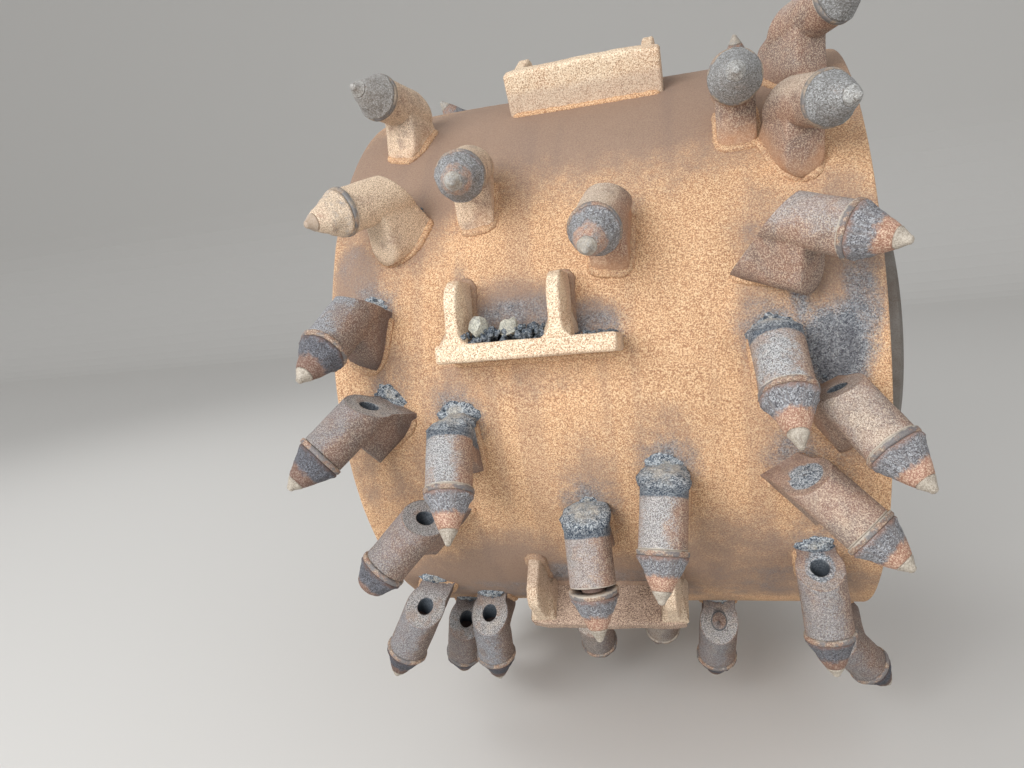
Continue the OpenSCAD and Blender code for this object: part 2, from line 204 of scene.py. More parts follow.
# Adds a grid of rows by columns. Rows run along u and columns along v, and a face's
# outside is v crossed with u. Caps join the first and last rows to their own middles, and
# a loop joins the last row to the first.
def addGrid(store, points, around=True, loop=False, caps=False, flip=False, **layers):
    rows, cols = points.shape[:2]
    i, j = np.meshgrid(np.arange(rows if loop else rows - 1), np.arange(cols if around else cols - 1),
                       indexing="ij")
    k, m = (j + 1) % cols, (i + 1) % rows
    quads = np.stack([i * cols + j, i * cols + k, m * cols + k, m * cols + j], -1).reshape(-1, 4)
    layers = {name: np.broadcast_to(value, (rows, cols)) for name, value in layers.items()}
    flat, tris = [points.reshape(-1, 3)], [np.zeros((0, 3), int)]
    values = {name: [value.reshape(-1)] for name, value in layers.items()}
    ring = np.arange(cols)
    for extra, end in enumerate((0, rows - 1) if caps else ()):
        flat.append(points[end].mean(0, keepdims=True))
        for name, value in layers.items():
            values[name].append(value[end].mean(keepdims=True))
        a, b = end * cols + ring, end * cols + (ring + 1) % cols
        centre = np.full(cols, rows * cols + extra)
        tris.append(np.stack([a, b, centre] if end else [b, a, centre], -1))
    tris = np.concatenate(tris)
    if flip:
        quads, tris = quads[:, ::-1], tris[:, ::-1]
    store["points"].append(np.concatenate(flat))
    store["quads"].append(quads + store["count"])
    store["tris"].append(tris + store["count"])
    for name, parts in values.items():
        store["layers"].setdefault(name, []).append(np.concatenate(parts))
    store["count"] += len(store["points"][-1])


# The mesh of a store: its quads, then its triangles, and each layer as an attribute of the points.
def meshOf(name, store, material, smoothFaces=True):
    points = np.concatenate(store["points"]).astype(np.float32)
    quads, tris = np.concatenate(store["quads"]), np.concatenate(store["tris"])
    mesh = bpy.data.meshes.new(name)
    mesh.vertices.add(len(points))
    mesh.vertices.foreach_set("co", points.ravel())
    corners = np.concatenate([quads.ravel(), tris.ravel()]).astype(np.int32)
    mesh.loops.add(len(corners))
    mesh.loops.foreach_set("vertex_index", corners)
    starts = np.concatenate([np.arange(len(quads)) * 4, len(quads) * 4 + np.arange(len(tris)) * 3])
    mesh.polygons.add(len(starts))
    mesh.polygons.foreach_set("loop_start", starts.astype(np.int32))
    mesh.update(calc_edges=True)
    mesh.validate()
    for layer, parts in store["layers"].items():
        attribute = mesh.attributes.new(layer, "FLOAT", "POINT")
        attribute.data.foreach_set("value", np.concatenate(parts).astype(np.float32))
    mesh.polygons.foreach_set("use_smooth", np.full(len(mesh.polygons), smoothFaces))
    mesh.materials.append(material)
    return mesh


def finishPiece(name, store, material, nodes=(), body="drum", smoothFaces=True):
    mesh = meshOf(name, store, material, smoothFaces)
    piece = bpy.data.objects.new(name, mesh)
    scene.collection.objects.link(piece)
    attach(piece, body)
    if nodes:
        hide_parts(*nodes)
    print(f"{name}: {len(mesh.vertices)} points, {len(mesh.polygons)} faces")
    return piece


# a piece's name, such as picksEdgeLeft for the CAD node picks_edge_left
def zoneName(kind, zone):
    return kind + zone.title().replace("_", "")


# camera, floor and light
view = dict(
    place=(0.3693, -0.8803, 0.1066), yaw=-15.8, pitch=-8.78, roll=-6.43,
    lens=27.03, sensor=36.0, clipStart=0.05,
)


# Stands a camera or a lamp at its place, with its right, up and back directions.
def stand(name, data, right, up, back, place):
    matrix = np.eye(4)
    matrix[:3] = np.stack([right, up, back, place], -1)
    thing = bpy.data.objects.new(name, data)
    thing.matrix_world = Matrix(matrix.tolist())
    scene.collection.objects.link(thing)
    return thing


def aimCamera(cfg):
    yaw, pitch, roll = (np.radians(cfg[k]) for k in ("yaw", "pitch", "roll"))
    ahead = np.array([np.sin(yaw) * np.cos(pitch), np.cos(yaw) * np.cos(pitch), np.sin(pitch)])
    level = np.array([np.cos(yaw), -np.sin(yaw), 0])
    upright = np.cross(level, ahead)
    right = level * np.cos(roll) + upright * np.sin(roll)
    up = -level * np.sin(roll) + upright * np.cos(roll)
    data = bpy.data.cameras.new("camera")
    data.lens, data.sensor_width, data.clip_start = cfg["lens"], cfg["sensor"], cfg["clipStart"]
    scene.camera = stand("camera", data, right, up, -ahead, cfg["place"])


aimCamera(view)

studio = dict(
    floorZ=-0.392, floorColour=(0.66, 0.65, 0.63), floorRough=0.9, floorHalf=30.0, flatFrom=-3, bendFrom=4,
    bendR=1.2, bendSteps=16, wallTop=7.0, worldStrength=0.62,
    # each lamp's place, size in metres and power in watts
    lamps=dict(keyLight=((-0.55, -2.1, 0.85), 1.3, 44), fillLight=((1.9, -1.7, 0.3), 1.6, 8),
               rimLight=((-1.6, 0.9, 1.5), 1.4, 12)),
)


# The floor is flat and bends up into a wall by a quarter round, carried along X.
def makeStudio(cfg):
    material = bpy.data.materials.new("paleFloor")
    material.use_nodes = True
    shader = material.node_tree.nodes["Principled BSDF"]
    shader.inputs["Base Color"].default_value = (*cfg["floorColour"], 1)
    shader.inputs["Roughness"].default_value = cfg["floorRough"]
    turn, bend = np.linspace(0, np.pi / 2, cfg["bendSteps"]), cfg["bendR"]
    depth = np.concatenate([[-cfg["floorHalf"], cfg["flatFrom"]], cfg["bendFrom"] + bend * np.sin(turn),
                            [cfg["bendFrom"] + bend]])
    height = np.concatenate([[0, 0], bend - bend * np.cos(turn), [cfg["wallTop"]]]) + cfg["floorZ"]
    side = np.array([-cfg["floorHalf"], cfg["floorHalf"]])
    store = newStore()
    addGrid(store, np.stack(np.broadcast_arrays(side[:, None], depth[None], height[None]), -1),
            around=False, flip=True)
    floor = bpy.data.objects.new("floor", meshOf("floor", store, material, smoothFaces=False))
    scene.collection.objects.link(floor)
    for name, (place, size, power) in cfg["lamps"].items():
        data = bpy.data.lights.new(name, "AREA")
        data.size, data.energy = size, power
        ahead = unit(np.array([drum["middleX"], 0, 0]) - np.array(place))
        right = unit(np.cross(ahead, (0, 0, 1)))
        stand(name, data, right, np.cross(right, ahead), -ahead, place)
    world = bpy.data.worlds.new("studio")
    world.use_nodes = True
    background = world.node_tree.nodes["Background"].inputs
    background["Color"].default_value = (1, 1, 1, 1)
    background["Strength"].default_value = cfg["worldStrength"]
    scene.world = world


makeStudio(studio)
print("camera and studio stand")


# shader groups and materials

# A written sRGB colour as the linear colour that a shader takes.
def linear(hexColour):
    c = np.array([int(hexColour[i:i + 2], 16) for i in (0, 2, 4)]) / 255
    return tuple(np.where(c <= 0.04045, c / 12.92, ((c + 0.055) / 1.055) ** 2.4)) + (1.0,)


# Short calls for one node tree. A noise has its scale, detail and roughness, and a step where it
# starts and ends and how far it goes.
class Wiring:
    def __init__(self, tree):
        self.tree = tree

    def node(self, kind, settings=None, **inputs):
        made = self.tree.nodes.new(kind)
        for name, value in (settings or {}).items():
            setattr(made, name, value)
        for name, value in inputs.items():
            self.link(value, made.inputs[name.replace("_", " ")])
        return made

    # joins a socket to another one, or sets its value
    def link(self, value, socket):
        if isinstance(value, bpy.types.NodeSocket):
            self.tree.links.new(value, socket)
        elif value is not None:
            socket.default_value = value

    def math(self, operation, a, b=None):
        made = self.node("ShaderNodeMath", dict(operation=operation))
        self.link(a, made.inputs[0])
        self.link(b, made.inputs[1])
        return made.outputs[0]

    def times(self, a, b):
        return self.math("MULTIPLY", a, b)

    def plus(self, a, b):
        return self.math("ADD", a, b)

    # a value in 0..1 brought about zero, times an amount
    def about(self, value, amount):
        return self.times(self.math("SUBTRACT", value, 0.5), amount)

    def mix(self, factor, a, b, blend="MIX"):
        made = self.node("ShaderNodeMix", dict(data_type="RGBA", blend_type=blend))
        for value, index in ((factor, 0), (a, 6), (b, 7)):  # by number, as the colour sockets share names
            self.link(value, made.inputs[index])
        return made.outputs[2]

    def noise(self, vector, scale, detail, rough, warp=0.0):
        return self.node("ShaderNodeTexNoise", Vector=vector, Scale=scale, Detail=detail,
                         Roughness=rough, Distortion=warp).outputs["Fac"]

    def step(self, value, low, high, most=1.0):
        return self.node("ShaderNodeMapRange", dict(interpolation_type="SMOOTHSTEP"), Value=value,
                         From_Min=low, From_Max=high, To_Max=most).outputs["Result"]

    def layer(self, name):
        return self.node("ShaderNodeAttribute", dict(attribute_name=name)).outputs["Fac"]


def newGroup(name, inputs, outputs):
    tree = bpy.data.node_groups.new(name, "ShaderNodeTree")
    kinds = dict(f="NodeSocketFloat", c="NodeSocketColor", v="NodeSocketVector")
    for title, kind in inputs.items():
        tree.interface.new_socket(title, in_out="INPUT", socket_type=kinds[kind])
    for title, kind in outputs.items():
        tree.interface.new_socket(title, in_out="OUTPUT", socket_type=kinds[kind])
    return Wiring(tree), tree.nodes.new("NodeGroupInput").outputs, tree.nodes.new("NodeGroupOutput").inputs


grainLook = dict(
    clouds=(5, 0.62, 0.4),  # detail, roughness and warp
    cloudStep=(0.36, 0.66), fine=(1500.0, 2, 0.7), coarse=(860.0, 2, 0.6),
    fineShare=0.5, light=(0.50, 0.56, 0.8), dark=(0.50, 0.42, 0.85),
    pits=(95.0, 4, 0.7), pitStep=(0.40, 0.30), pitDepth=0.6,
)


# Fine sandy speckle on rusty steel: clouds carry one colour to a second, and a grain, half fine
# noise and half coarse, lightens it above one half and darkens it below.
def sandyGrainGroup(cfg):
    inputs = {"Place": "v", "Colour": "c", "Cloud Colour": "c", "Pit Colour": "c", "Light Colour": "c",
              "Cloud Size": "f", "Grain": "f", "Pits": "f"}
    w, ins, outs = newGroup("sandyGrain", inputs, dict(Colour="c", Height="f"))
    place = ins["Place"]
    clouds = w.noise(place, ins["Cloud Size"], *cfg["clouds"])
    base = w.mix(w.step(clouds, *cfg["cloudStep"]), ins["Colour"], ins["Cloud Colour"])
    grain = w.plus(w.times(w.noise(place, *cfg["fine"]), cfg["fineShare"]),
                   w.times(w.noise(place, *cfg["coarse"]), 1 - cfg["fineShare"]))
    base = w.mix(w.times(w.step(grain, *cfg["light"]), ins["Grain"]), base, ins["Light Colour"])
    base = w.mix(w.times(w.step(grain, *cfg["dark"]), ins["Grain"]), base, ins["Pit Colour"])
    pits = w.times(w.step(w.noise(place, *cfg["pits"]), *cfg["pitStep"]), ins["Pits"])
    w.link(w.mix(pits, base, ins["Pit Colour"]), outs["Colour"])
    w.link(w.math("SUBTRACT", grain, w.times(pits, cfg["pitDepth"])), outs["Height"])
    return w.tree


dirtLook = dict(crumbs=(0.25, 0.95), fine=(520.0, 4, 0.75), dust=(0.42, 0.6, 0.65))


# Caked asphalt dirt: dark and grey crumbs from a cell pattern, with fine dust between.
def crumbDirtGroup(cfg):
    inputs = dict(Place="v", Dark="c", Light="c", Dust="c", Scale="f")
    w, ins, outs = newGroup("crumbDirt", inputs, dict(Colour="c", Height="f"))
    cells = w.node("ShaderNodeTexVoronoi", Vector=ins["Place"], Scale=ins["Scale"])
    crumb = w.node("ShaderNodeSeparateColor", Color=cells.outputs["Color"]).outputs[0]
    fine = w.noise(ins["Place"], *cfg["fine"])
    colour = w.mix(w.step(crumb, *cfg["crumbs"]), ins["Dark"], ins["Light"])
    w.link(w.mix(w.step(fine, *cfg["dust"]), colour, ins["Dust"]), outs["Colour"])
    w.link(w.plus(crumb, fine), outs["Height"])
    return w.tree


groups = dict(grain=sandyGrainGroup(grainLook), dirt=crumbDirtGroup(dirtLook))
colours = {name: linear(code) for name, code in dict(
    sand="d4a37a", rust="bf906a", deepRust="7d5842", sandLight="f2dab2", dust="8b7669",
    brown="776660", orange="917061", greyDust="c1c3c4", greyShade="5c5d61", footShadeBrown="6b5852",
    rosySand="f2dcc0", rosyShade="a88f78", bright="c5bdb0", cover="988f81",
    dirtDark="27384a", dirtLight="cfd6da", dirtDust="99a1a9", wetDirt="36404b", wettestDirt="232b39",
    siltShade="2b3644", blueFilm="a9b4c4", holeShadeAndJoint="2f363e", moundShade="232f3e",
    coneRust="ab8372", coneDark="98705d", pickDark="323b46", pickLight="b9bfc5", pickDust="868b92",
    pickRuns="6b6a6b", pickFilm="858896", washer="8a7a6e", washerGrey="6d6f73",
    carbide="b5ab9d", carbideCloud="93897c", carbidePit="6f655b",
    paddleSand="ead2b2", paddleCloud="dcba98", paddleLight="fbefd8", paddleRoot="b5a396",
    dullSand="a98f7f", dullCloud="967c6c", dullPit="46362c", dullLight="dcc6ae",
    gritShade="7b7c7d", gritSand="f0e8d8",
).items()}


def newMaterial(name):
    material = bpy.data.materials.new(name)
    material.use_nodes = True
    w = Wiring(material.node_tree)
    return material, w, w.node("ShaderNodeTexCoord").outputs["Object"]


def useGroup(w, group, **inputs):
    return w.node("ShaderNodeGroup", dict(node_tree=groups[group]), **inputs).outputs


# The grain in four named colours, with the cloud size, grain and pits of the finish.
def grainOn(w, place, cfg, base, cloud, pit="deepRust", light="rosySand"):
    return useGroup(w, "grain", Place=place, Colour=colours[base], Cloud_Colour=colours[cloud],
                    Pit_Colour=colours[pit], Light_Colour=colours[light], Cloud_Size=cfg["cloudSize"],
                    Grain=cfg["grain"], Pits=cfg["pits"])


def dirtOn(w, place, dark="dirtDark", light="dirtLight", dust="dirtDust", scale=1150.0):
    return useGroup(w, "dirt", Place=place, Dark=colours[dark], Light=colours[light], Dust=colours[dust],
                    Scale=scale)


# Pale rosy sand with darker grit in it.
def sandOn(w, grit):
    return w.mix(grit, colours["rosyShade"], colours["rosySand"])


# Joins a colour and a height to the material's own shader. Relief has a bump's depth and strength.
def dress(material, w, colour, height, cfg):
    shader = material.node_tree.nodes["Principled BSDF"]
    w.link(colour, shader.inputs["Base Color"])
    shader.inputs["Roughness"].default_value = cfg["rough"]
    shader.inputs["Metallic"].default_value = cfg.get("metal", 0.0)
    depth, strength = cfg["relief"]
    bump = w.node("ShaderNodeBump", Height=height, Strength=strength, Distance=depth)
    w.link(bump.outputs["Normal"], shader.inputs["Normal"])
    return material


# Distance above the shell's surface: sqrt(y^2 + z^2) less the shell's radius.
def heightOverShell(w, place):
    parts = w.node("ShaderNodeSeparateXYZ", Vector=place).outputs
    squares = w.plus(w.times(parts["Y"], parts["Y"]), w.times(parts["Z"], parts["Z"]))
    return w.math("SUBTRACT", w.math("SQRT", squares), drum["shellR"])


shellFinish = dict(
    cloudSize=8.0, grain=0.85, pits=0.1, rough=0.82, relief=(0.0009, 0.6),
    speck=(800.0, 3, 0.75), speckAmount=0.9, ragged=(45.0, 5, 0.7), raggedAmount=1.1,
    dust=(0.1, 1.0, 0.85), streak=0.35, wetShare=0.45, wettest=(0.9, 1.5, 0.6), grime=(0.2, 1.1, 0.92),
)


# Shell: sandy rust, with dust, dark streaks and dirt where the layers of those names are high; the dust and
# grime layers also carry painted shade over the top, in the paddles' pockets and towards the right end.
def shellMaterial(cfg):
    material, w, place = newMaterial("rustyShell")
    grain = grainOn(w, place, cfg, "sand", "rust", light="sandLight")
    speck = w.about(w.noise(place, *cfg["speck"]), cfg["speckAmount"])
    ragged = w.about(w.noise(place, *cfg["ragged"]), cfg["raggedAmount"])
    dust = w.plus(w.plus(w.layer("dust"), ragged), speck)
    colour = w.mix(w.step(dust, *cfg["dust"]), grain["Colour"], colours["dust"])
    colour = w.mix(w.times(w.layer("streak"), cfg["streak"]), colour, colours["brown"])
    grime = w.plus(w.plus(w.layer("grime"), ragged), speck)
    dirt = w.mix(cfg["wetShare"], dirtOn(w, place)["Colour"], colours["wetDirt"])
    dirt = w.mix(w.step(grime, *cfg["wettest"]), dirt, colours["wettestDirt"])
    colour = w.mix(w.step(grime, *cfg["grime"]), colour, dirt)
    return dress(material, w, colour, grain["Height"], cfg)


holderFinish = dict(
    cloudSize=38.0, grain=0.6, pits=0.25, rough=0.72, relief=(0.0008, 0.7),
    speck=(1200.0, 2, 0.8), speckAmount=1.1, patch=(70.0, 4, 0.7), patchAmount=1.3, grit=(0.43, 0.57),
    dust=(0.38, 0.9, 0.95), foot=(0.012, -0.006, 0.6), footRagged=-0.02, footSandy=(0.15, 0.45),
    sandyFrom=0.4, sandyWide=1.9, sandy=(0.45, 0.95, 0.85), sandyLeast=0.15,
    blotches=(48.0, 4, 0.7), blotch=(0.52, 0.66, 0.55), rimRagged=1.2, rim=(0.55, 0.8, 0.7),
    deepRagged=0.5, deep=(0.25, 0.65), siltRagged=0.8, siltDark=(0.46, 0.16, 0.6),
    siltPale=(0.62, 0.95, 0.7), film=0.8,
)


# Holder: rusty brown, kept dark on the flanks as painted shade, with grey dust or rosy sand on the side that
# faces outwards, where it also stands for the lit side; painted shade at the foot by the shell; a thin light
# rim at the front; dirt on the rear face and in the bores, and painted shade deep in the bores and the
# knock-out hole.
def holderMaterial(cfg):
    material, w, place = newMaterial("dustyHolder")
    # the dark brown and orange grain shows on the flanks, where it is partly painted shade
    grain = grainOn(w, place, cfg, "brown", "orange")
    speck, patch = w.noise(place, *cfg["speck"]), w.noise(place, *cfg["patch"])
    lift = w.plus(w.about(speck, cfg["speckAmount"]), w.about(patch, cfg["patchAmount"]))
    # crown is where the holder faces outwards: the dust and sand there are real, and also stand for light
    # falling on that side
    crown = w.plus(w.layer("crown"), lift)
    grit = w.step(speck, *cfg["grit"])
    dust = w.times(w.step(crown, *cfg["dust"]), w.layer("tone"))
    colour = w.mix(dust, grain["Colour"], w.mix(grit, colours["greyShade"], colours["greyDust"]))
    # painted shade at the foot, where it meets the shell: dark brown, or rust on the sandy rows
    foot = w.plus(heightOverShell(w, place), w.times(patch, cfg["footRagged"]))
    footShadeColour = w.mix(w.step(w.layer("sandy"), *cfg["footSandy"]), colours["footShadeBrown"], colours["rust"])
    colour = w.mix(w.step(foot, *cfg["foot"]), colour, footShadeColour)
    wide = w.times(w.math("SUBTRACT", w.layer("sandy"), cfg["sandyFrom"]), cfg["sandyWide"])
    sandy = w.times(w.step(w.plus(crown, wide), *cfg["sandy"]), w.plus(w.layer("sandy"), cfg["sandyLeast"]))
    colour = w.mix(sandy, colour, sandOn(w, grit))
    colour = w.mix(w.step(w.noise(place, *cfg["blotches"]), *cfg["blotch"]), colour, grain["Colour"])
    rim = w.plus(w.layer("rim"), w.about(patch, cfg["rimRagged"]))
    colour = w.mix(w.step(rim, *cfg["rim"]), colour, colours["bright"])
    silt = w.plus(w.layer("silt"), w.about(patch, cfg["siltRagged"]))
    caked = w.mix(w.step(silt, *cfg["siltDark"]), dirtOn(w, place)["Colour"], colours["siltShade"])
    caked = w.mix(w.step(silt, *cfg["siltPale"]), caked, sandOn(w, grit))
    deep = w.plus(w.layer("deep"), w.times(lift, cfg["deepRagged"]))
    colour = w.mix(w.step(deep, *cfg["deep"]), colour, caked)
    colour = w.mix(w.times(w.layer("film"), cfg["film"]), colour, colours["blueFilm"], "MULTIPLY")
    # painted shade deep in the bores and the knock-out hole, and the dark joint round a plug
    colour = w.mix(w.layer("hole"), colour, colours["holeShadeAndJoint"])
    return dress(material, w, colour, grain["Height"], cfg)


pickFinish = dict(
    cloudSize=90.0, grain=0.6, pits=0.3, rough=0.75, relief=(0.0007, 0.7), dirtScale=1350.0,
    ringScale=5.0, alongScale=1.2, runs=(1.6, 4, 0.7), runStep=(0.45, 0.68, 0.75),
    edge=(150.0, 4, 0.7), edgeAmount=0.3, caked=(0.52, 0.62), cakedMost=0.9, collar=(0.80, 0.93, 0.8),
    grit=(1250.0, 2, 0.8), gritStep=(0.42, 0.58), film=1.2,
    cover=(170.0, 4, 0.75), coverAmount=1.3, coverStep=(0.25, 0.85), coverGrey=0.35,
)


# Where dust covers a pick: its cover layer, less or more by a patchy noise.
def dustCover(w, place, cfg=pickFinish):
    patch = w.about(w.noise(place, *cfg["cover"]), cfg["coverAmount"])
    return w.step(w.plus(w.layer("cover"), patch), *cfg["coverStep"])


# The dust's colour: grey, or sand where the sandy layer says so.
def coverColour(w, dirt, sand, cfg=pickFinish):
    return w.mix(w.layer("sandy"), w.mix(cfg["coverGrey"], dirt["Colour"], colours["cover"]), sand)


# Pick: cone in pinkish rust, and the shoulder caked with grey dirt that runs in streaks along it.
def pickMaterial(cfg):
    material, w, place = newMaterial("pickSteel")
    grain = grainOn(w, place, cfg, "coneRust", "coneDark")
    dirt = dirtOn(w, place, "pickDark", "pickLight", "pickDust", cfg["dirtScale"])
    along = w.layer("along")
    ringPlace = w.node("ShaderNodeCombineXYZ", X=w.times(w.layer("ringX"), cfg["ringScale"]),
                       Y=w.times(w.layer("ringY"), cfg["ringScale"]), Z=w.times(along, cfg["alongScale"]))
    runs = w.noise(ringPlace.outputs[0], *cfg["runs"])
    edge = w.plus(along, w.about(w.noise(place, *cfg["edge"]), cfg["edgeAmount"]))
    caked = w.step(edge, *cfg["caked"])
    shade = w.mix(w.step(runs, *cfg["runStep"]), dirt["Colour"], colours["pickRuns"])
    shade = w.mix(w.step(edge, *cfg["collar"]), shade, colours["orange"])
    colour = w.mix(w.times(caked, cfg["cakedMost"]), grain["Colour"], shade)
    grit = w.step(w.noise(place, *cfg["grit"]), *cfg["gritStep"])
    colour = w.mix(dustCover(w, place), colour, coverColour(w, dirt, sandOn(w, grit)))
    colour = w.mix(w.times(w.layer("film"), cfg["film"]), colour, colours["pickFilm"], "MULTIPLY")
    return dress(material, w, colour, w.plus(grain["Height"], w.times(caked, dirt["Height"])), cfg)


washerFinish = dict(
    cloudSize=70.0, grain=0.6, pits=0.4, rough=0.65, metal=0.15, relief=(0.0005, 0.5), coverMost=0.6,
    grey=(75.0, 4, 0.7), greyStep=(0.44, 0.58, 0.8), edge=(160.0, 3, 0.7), edgeAmount=1.4,
    edgeStep=(0.5, 0.8, 0.75),
)


# Washer: brown with grey patches, dust, and edges worn bright where the rim layer is high.
def washerMaterial(cfg):
    material, w, place = newMaterial("wornWasher")
    grain = grainOn(w, place, cfg, "washer", "orange")
    colour = w.mix(w.times(dustCover(w, place), cfg["coverMost"]), grain["Colour"], colours["cover"])
    colour = w.mix(w.step(w.noise(place, *cfg["grey"]), *cfg["greyStep"]), colour, colours["washerGrey"])
    edge = w.plus(w.layer("rim"), w.about(w.noise(place, *cfg["edge"]), cfg["edgeAmount"]))
    colour = w.mix(w.step(edge, *cfg["edgeStep"]), colour, colours["bright"])
    return dress(material, w, colour, grain["Height"], cfg)


carbideFinish = dict(cloudSize=120.0, grain=0.6, pits=0.3, rough=0.55, relief=(0.0005, 0.6), coverMost=0.8)


# Carbide tip: dull grey-brown, under the same dust as its pick.
def carbideMaterial(cfg):
    material, w, place = newMaterial("carbideTip")
    grain = grainOn(w, place, cfg, "carbide", "carbideCloud", "carbidePit", "bright")
    cover = coverColour(w, dirtOn(w, place), colours["rosyShade"])
    colour = w.mix(w.times(dustCover(w, place), cfg["coverMost"]), grain["Colour"], cover)
    return dress(material, w, colour, grain["Height"], cfg)


paddleFinish = dict(
    cloudSize=30.0, grain=0.9, pits=0.1, rough=0.75, relief=(0.0007, 0.6), patch=(60.0, 4, 0.7),
    patchAmount=0.7, root=(0.75, 0.25, 0.4), dull=dict(cloudSize=40.0, grain=0.8, pits=0.3),
    dustStep=(0.0, 0.6),
)


# Paddle: sandy yellow where millings polish it, at the outer edge, and browner towards its root.
def paddleMaterial(cfg):
    material, w, place = newMaterial("rustyPaddle")
    grain = grainOn(w, place, cfg, "paddleSand", "paddleCloud", light="paddleLight")
    dull = grainOn(w, place, cfg["dull"], "dullSand", "dullCloud", "dullPit", "dullLight")
    crown = w.plus(w.layer("crown"), w.about(w.noise(place, *cfg["patch"]), cfg["patchAmount"]))
    colour = w.mix(w.step(crown, *cfg["root"]), grain["Colour"], colours["paddleRoot"])
    colour = w.mix(w.step(w.layer("dust"), *cfg["dustStep"]), colour, dull["Colour"])
    return dress(material, w, colour, grain["Height"], cfg)


dirtFinish = dict(
    rough=0.9, relief=(0.0012, 0.8), patch=(110.0, 4, 0.75), patchAmount=2.0, sandy=(0.5, 1.25, 0.75),
    under=(0.3, 0.02, 0.5), grit=(1500.0, 2, 0.8), gritStep=(0.42, 0.58),
)


# Caked dirt, with pale sand on top of the mounds and a dark shade round their feet.
def dirtMaterial(cfg):
    material, w, place = newMaterial("cakedDirt")
    dirt = dirtOn(w, place)
    crown = w.layer("crown")
    colour = w.mix(w.step(crown, *cfg["under"]), dirt["Colour"], colours["moundShade"])
    sandy = w.plus(crown, w.about(w.noise(place, *cfg["patch"]), cfg["patchAmount"]))
    grit = w.step(w.noise(place, *cfg["grit"]), *cfg["gritStep"])
    sand = w.mix(grit, colours["gritShade"], colours["gritSand"])
    colour = w.mix(w.step(sandy, *cfg["sandy"]), colour, sand)
    return dress(material, w, colour, dirt["Height"], cfg)


# finishes that are only a grain: its colour, cloud colour and pit colour, then what differs from these
plainGrain = dict(grain=0.5, pits=0.3, metal=0.0, relief=(0.0005, 0.6))
plainFinishes = dict(
    web=dict(name="rustyWeb", shades=("8a6248", "6d4f3d", "3f2f27"), cloudSize=10.0, rough=0.85),
    hub=dict(name="machinedHub", shades=("8b8782", "6f655c", "5a3f2e"), cloudSize=14.0, rough=0.45,
             metal=0.7, grain=0.3, pits=0.2, relief=(0.0002, 0.6)),
    case=dict(name="darkCase", shades=("4b4a4a", "5f564e", "33302e"), cloudSize=16.0, rough=0.6,
              metal=0.1, grain=0.3),
    bolt=dict(name="dullBolt", shades=("77726c", "7d5b44", "46342a"), cloudSize=60.0, rough=0.5, metal=0.6),
    bearing=dict(name="groundBearing", shades=("b5b5b5", "a5a29d", "777777"), cloudSize=40.0, rough=0.3,
                 metal=0.9, grain=0.2, pits=0.1, relief=(0.0001, 0.6)),
    pebble=dict(name="palePebble", shades=("c6c4b6", "a4a39c", "5d5f60"), cloudSize=80.0, rough=0.85,
                grain=0.8, pits=0.5),
)


def plainMaterial(cfg):
    material, w, place = newMaterial(cfg["name"])
    colour, cloud, pit = (linear(code) for code in cfg["shades"])
    grain = useGroup(w, "grain", Place=place, Colour=colour, Cloud_Colour=cloud, Pit_Colour=pit,
                     Light_Colour=colour, Cloud_Size=cfg["cloudSize"], Grain=cfg["grain"], Pits=cfg["pits"])
    return dress(material, w, grain["Colour"], grain["Height"], cfg)


finishes = dict(
    shell=shellMaterial(shellFinish), holder=holderMaterial(holderFinish), pick=pickMaterial(pickFinish),
    washer=washerMaterial(washerFinish), carbide=carbideMaterial(carbideFinish),
    paddle=paddleMaterial(paddleFinish), dirt=dirtMaterial(dirtFinish),
)
for finish, cfg in plainFinishes.items():
    finishes[finish] = plainMaterial({**plainGrain, **cfg})

nodeFinishes = dict(
    hub=["drive_flange", "free_spindle"], web=["drive_web", "free_web"],
    case=["gear_case", "gear_cover", "case_flange", "bearing_housing", "bearing_cover"],
    bearing=["bearing_ring"], bolt=["case_bolts_ring", "housing_bolts_ring", "cover_screws_ring"],
)
for finish, nodes in nodeFinishes.items():
    for node in nodes:
        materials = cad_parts[node].data.materials
        materials.clear()
        materials.append(finishes[finish])
print("materials made")


# shell, where a listed noise has its amount, cell and seed, as it has in all the pieces
shellLook = dict(
    columns=620, rows=126, edgeRound=0.0025, innerReach=0.09, lip=0.001, fade=0.004,
    dents=((0.0005, 0.07, 3), (0.00025, 0.02, 4), (0.00018, 0.006, 5)),
    streakSize=(0.012, 0.25, 0.25), streakSeed=8, streakFrom=(0.1, 0.8), streakMost=0.6,
)
# dust, dirt and painted shade on the shell: x from the middle, angle, half length along x in mm, half angle,
# amount
dustAndShadeZones = [
    # (30, 62) is dust and painted shade over the top, under the housing; (195, 18) is dust and a painted
    # shadow of the side plate
    [-165, 48, 72, 21, 1.4], [30, 62, 240, 24, 1.25], [195, 18, 36, 14, 0.9], [-95, -38, 60, 11, 1.0],
    [-168, -20, 36, 13, 0.5], [-194, 16, 26, 24, 0.3], [-4, -17, 22, 10, 0.65], [44, -12, 18, 9, 0.6],
    # (-57, 14), (8, 12) and (-104, 15) are dust and painted shade in and round the pocket behind the paddle
    # at 7.5 degrees
    [105, -38, 85, 14, 0.8], [-100, -2, 14, 10, 0.35], [196, -10, 22, 9, 0.5], [-57, 14, 46, 6, 1.0],
    [8, 12, 26, 4, 0.9], [-104, 15, 9, 9, 0.7], [-57, 2, 80, 3, 0.35], [-200, 22, 22, 9, 1.2],
    [-208, -12, 16, 12, 0.6], [10, 40, 18, 8, 0.5], [-80, -46, 170, 13, 1.2], [150, -46, 80, 8, 0.8],
]
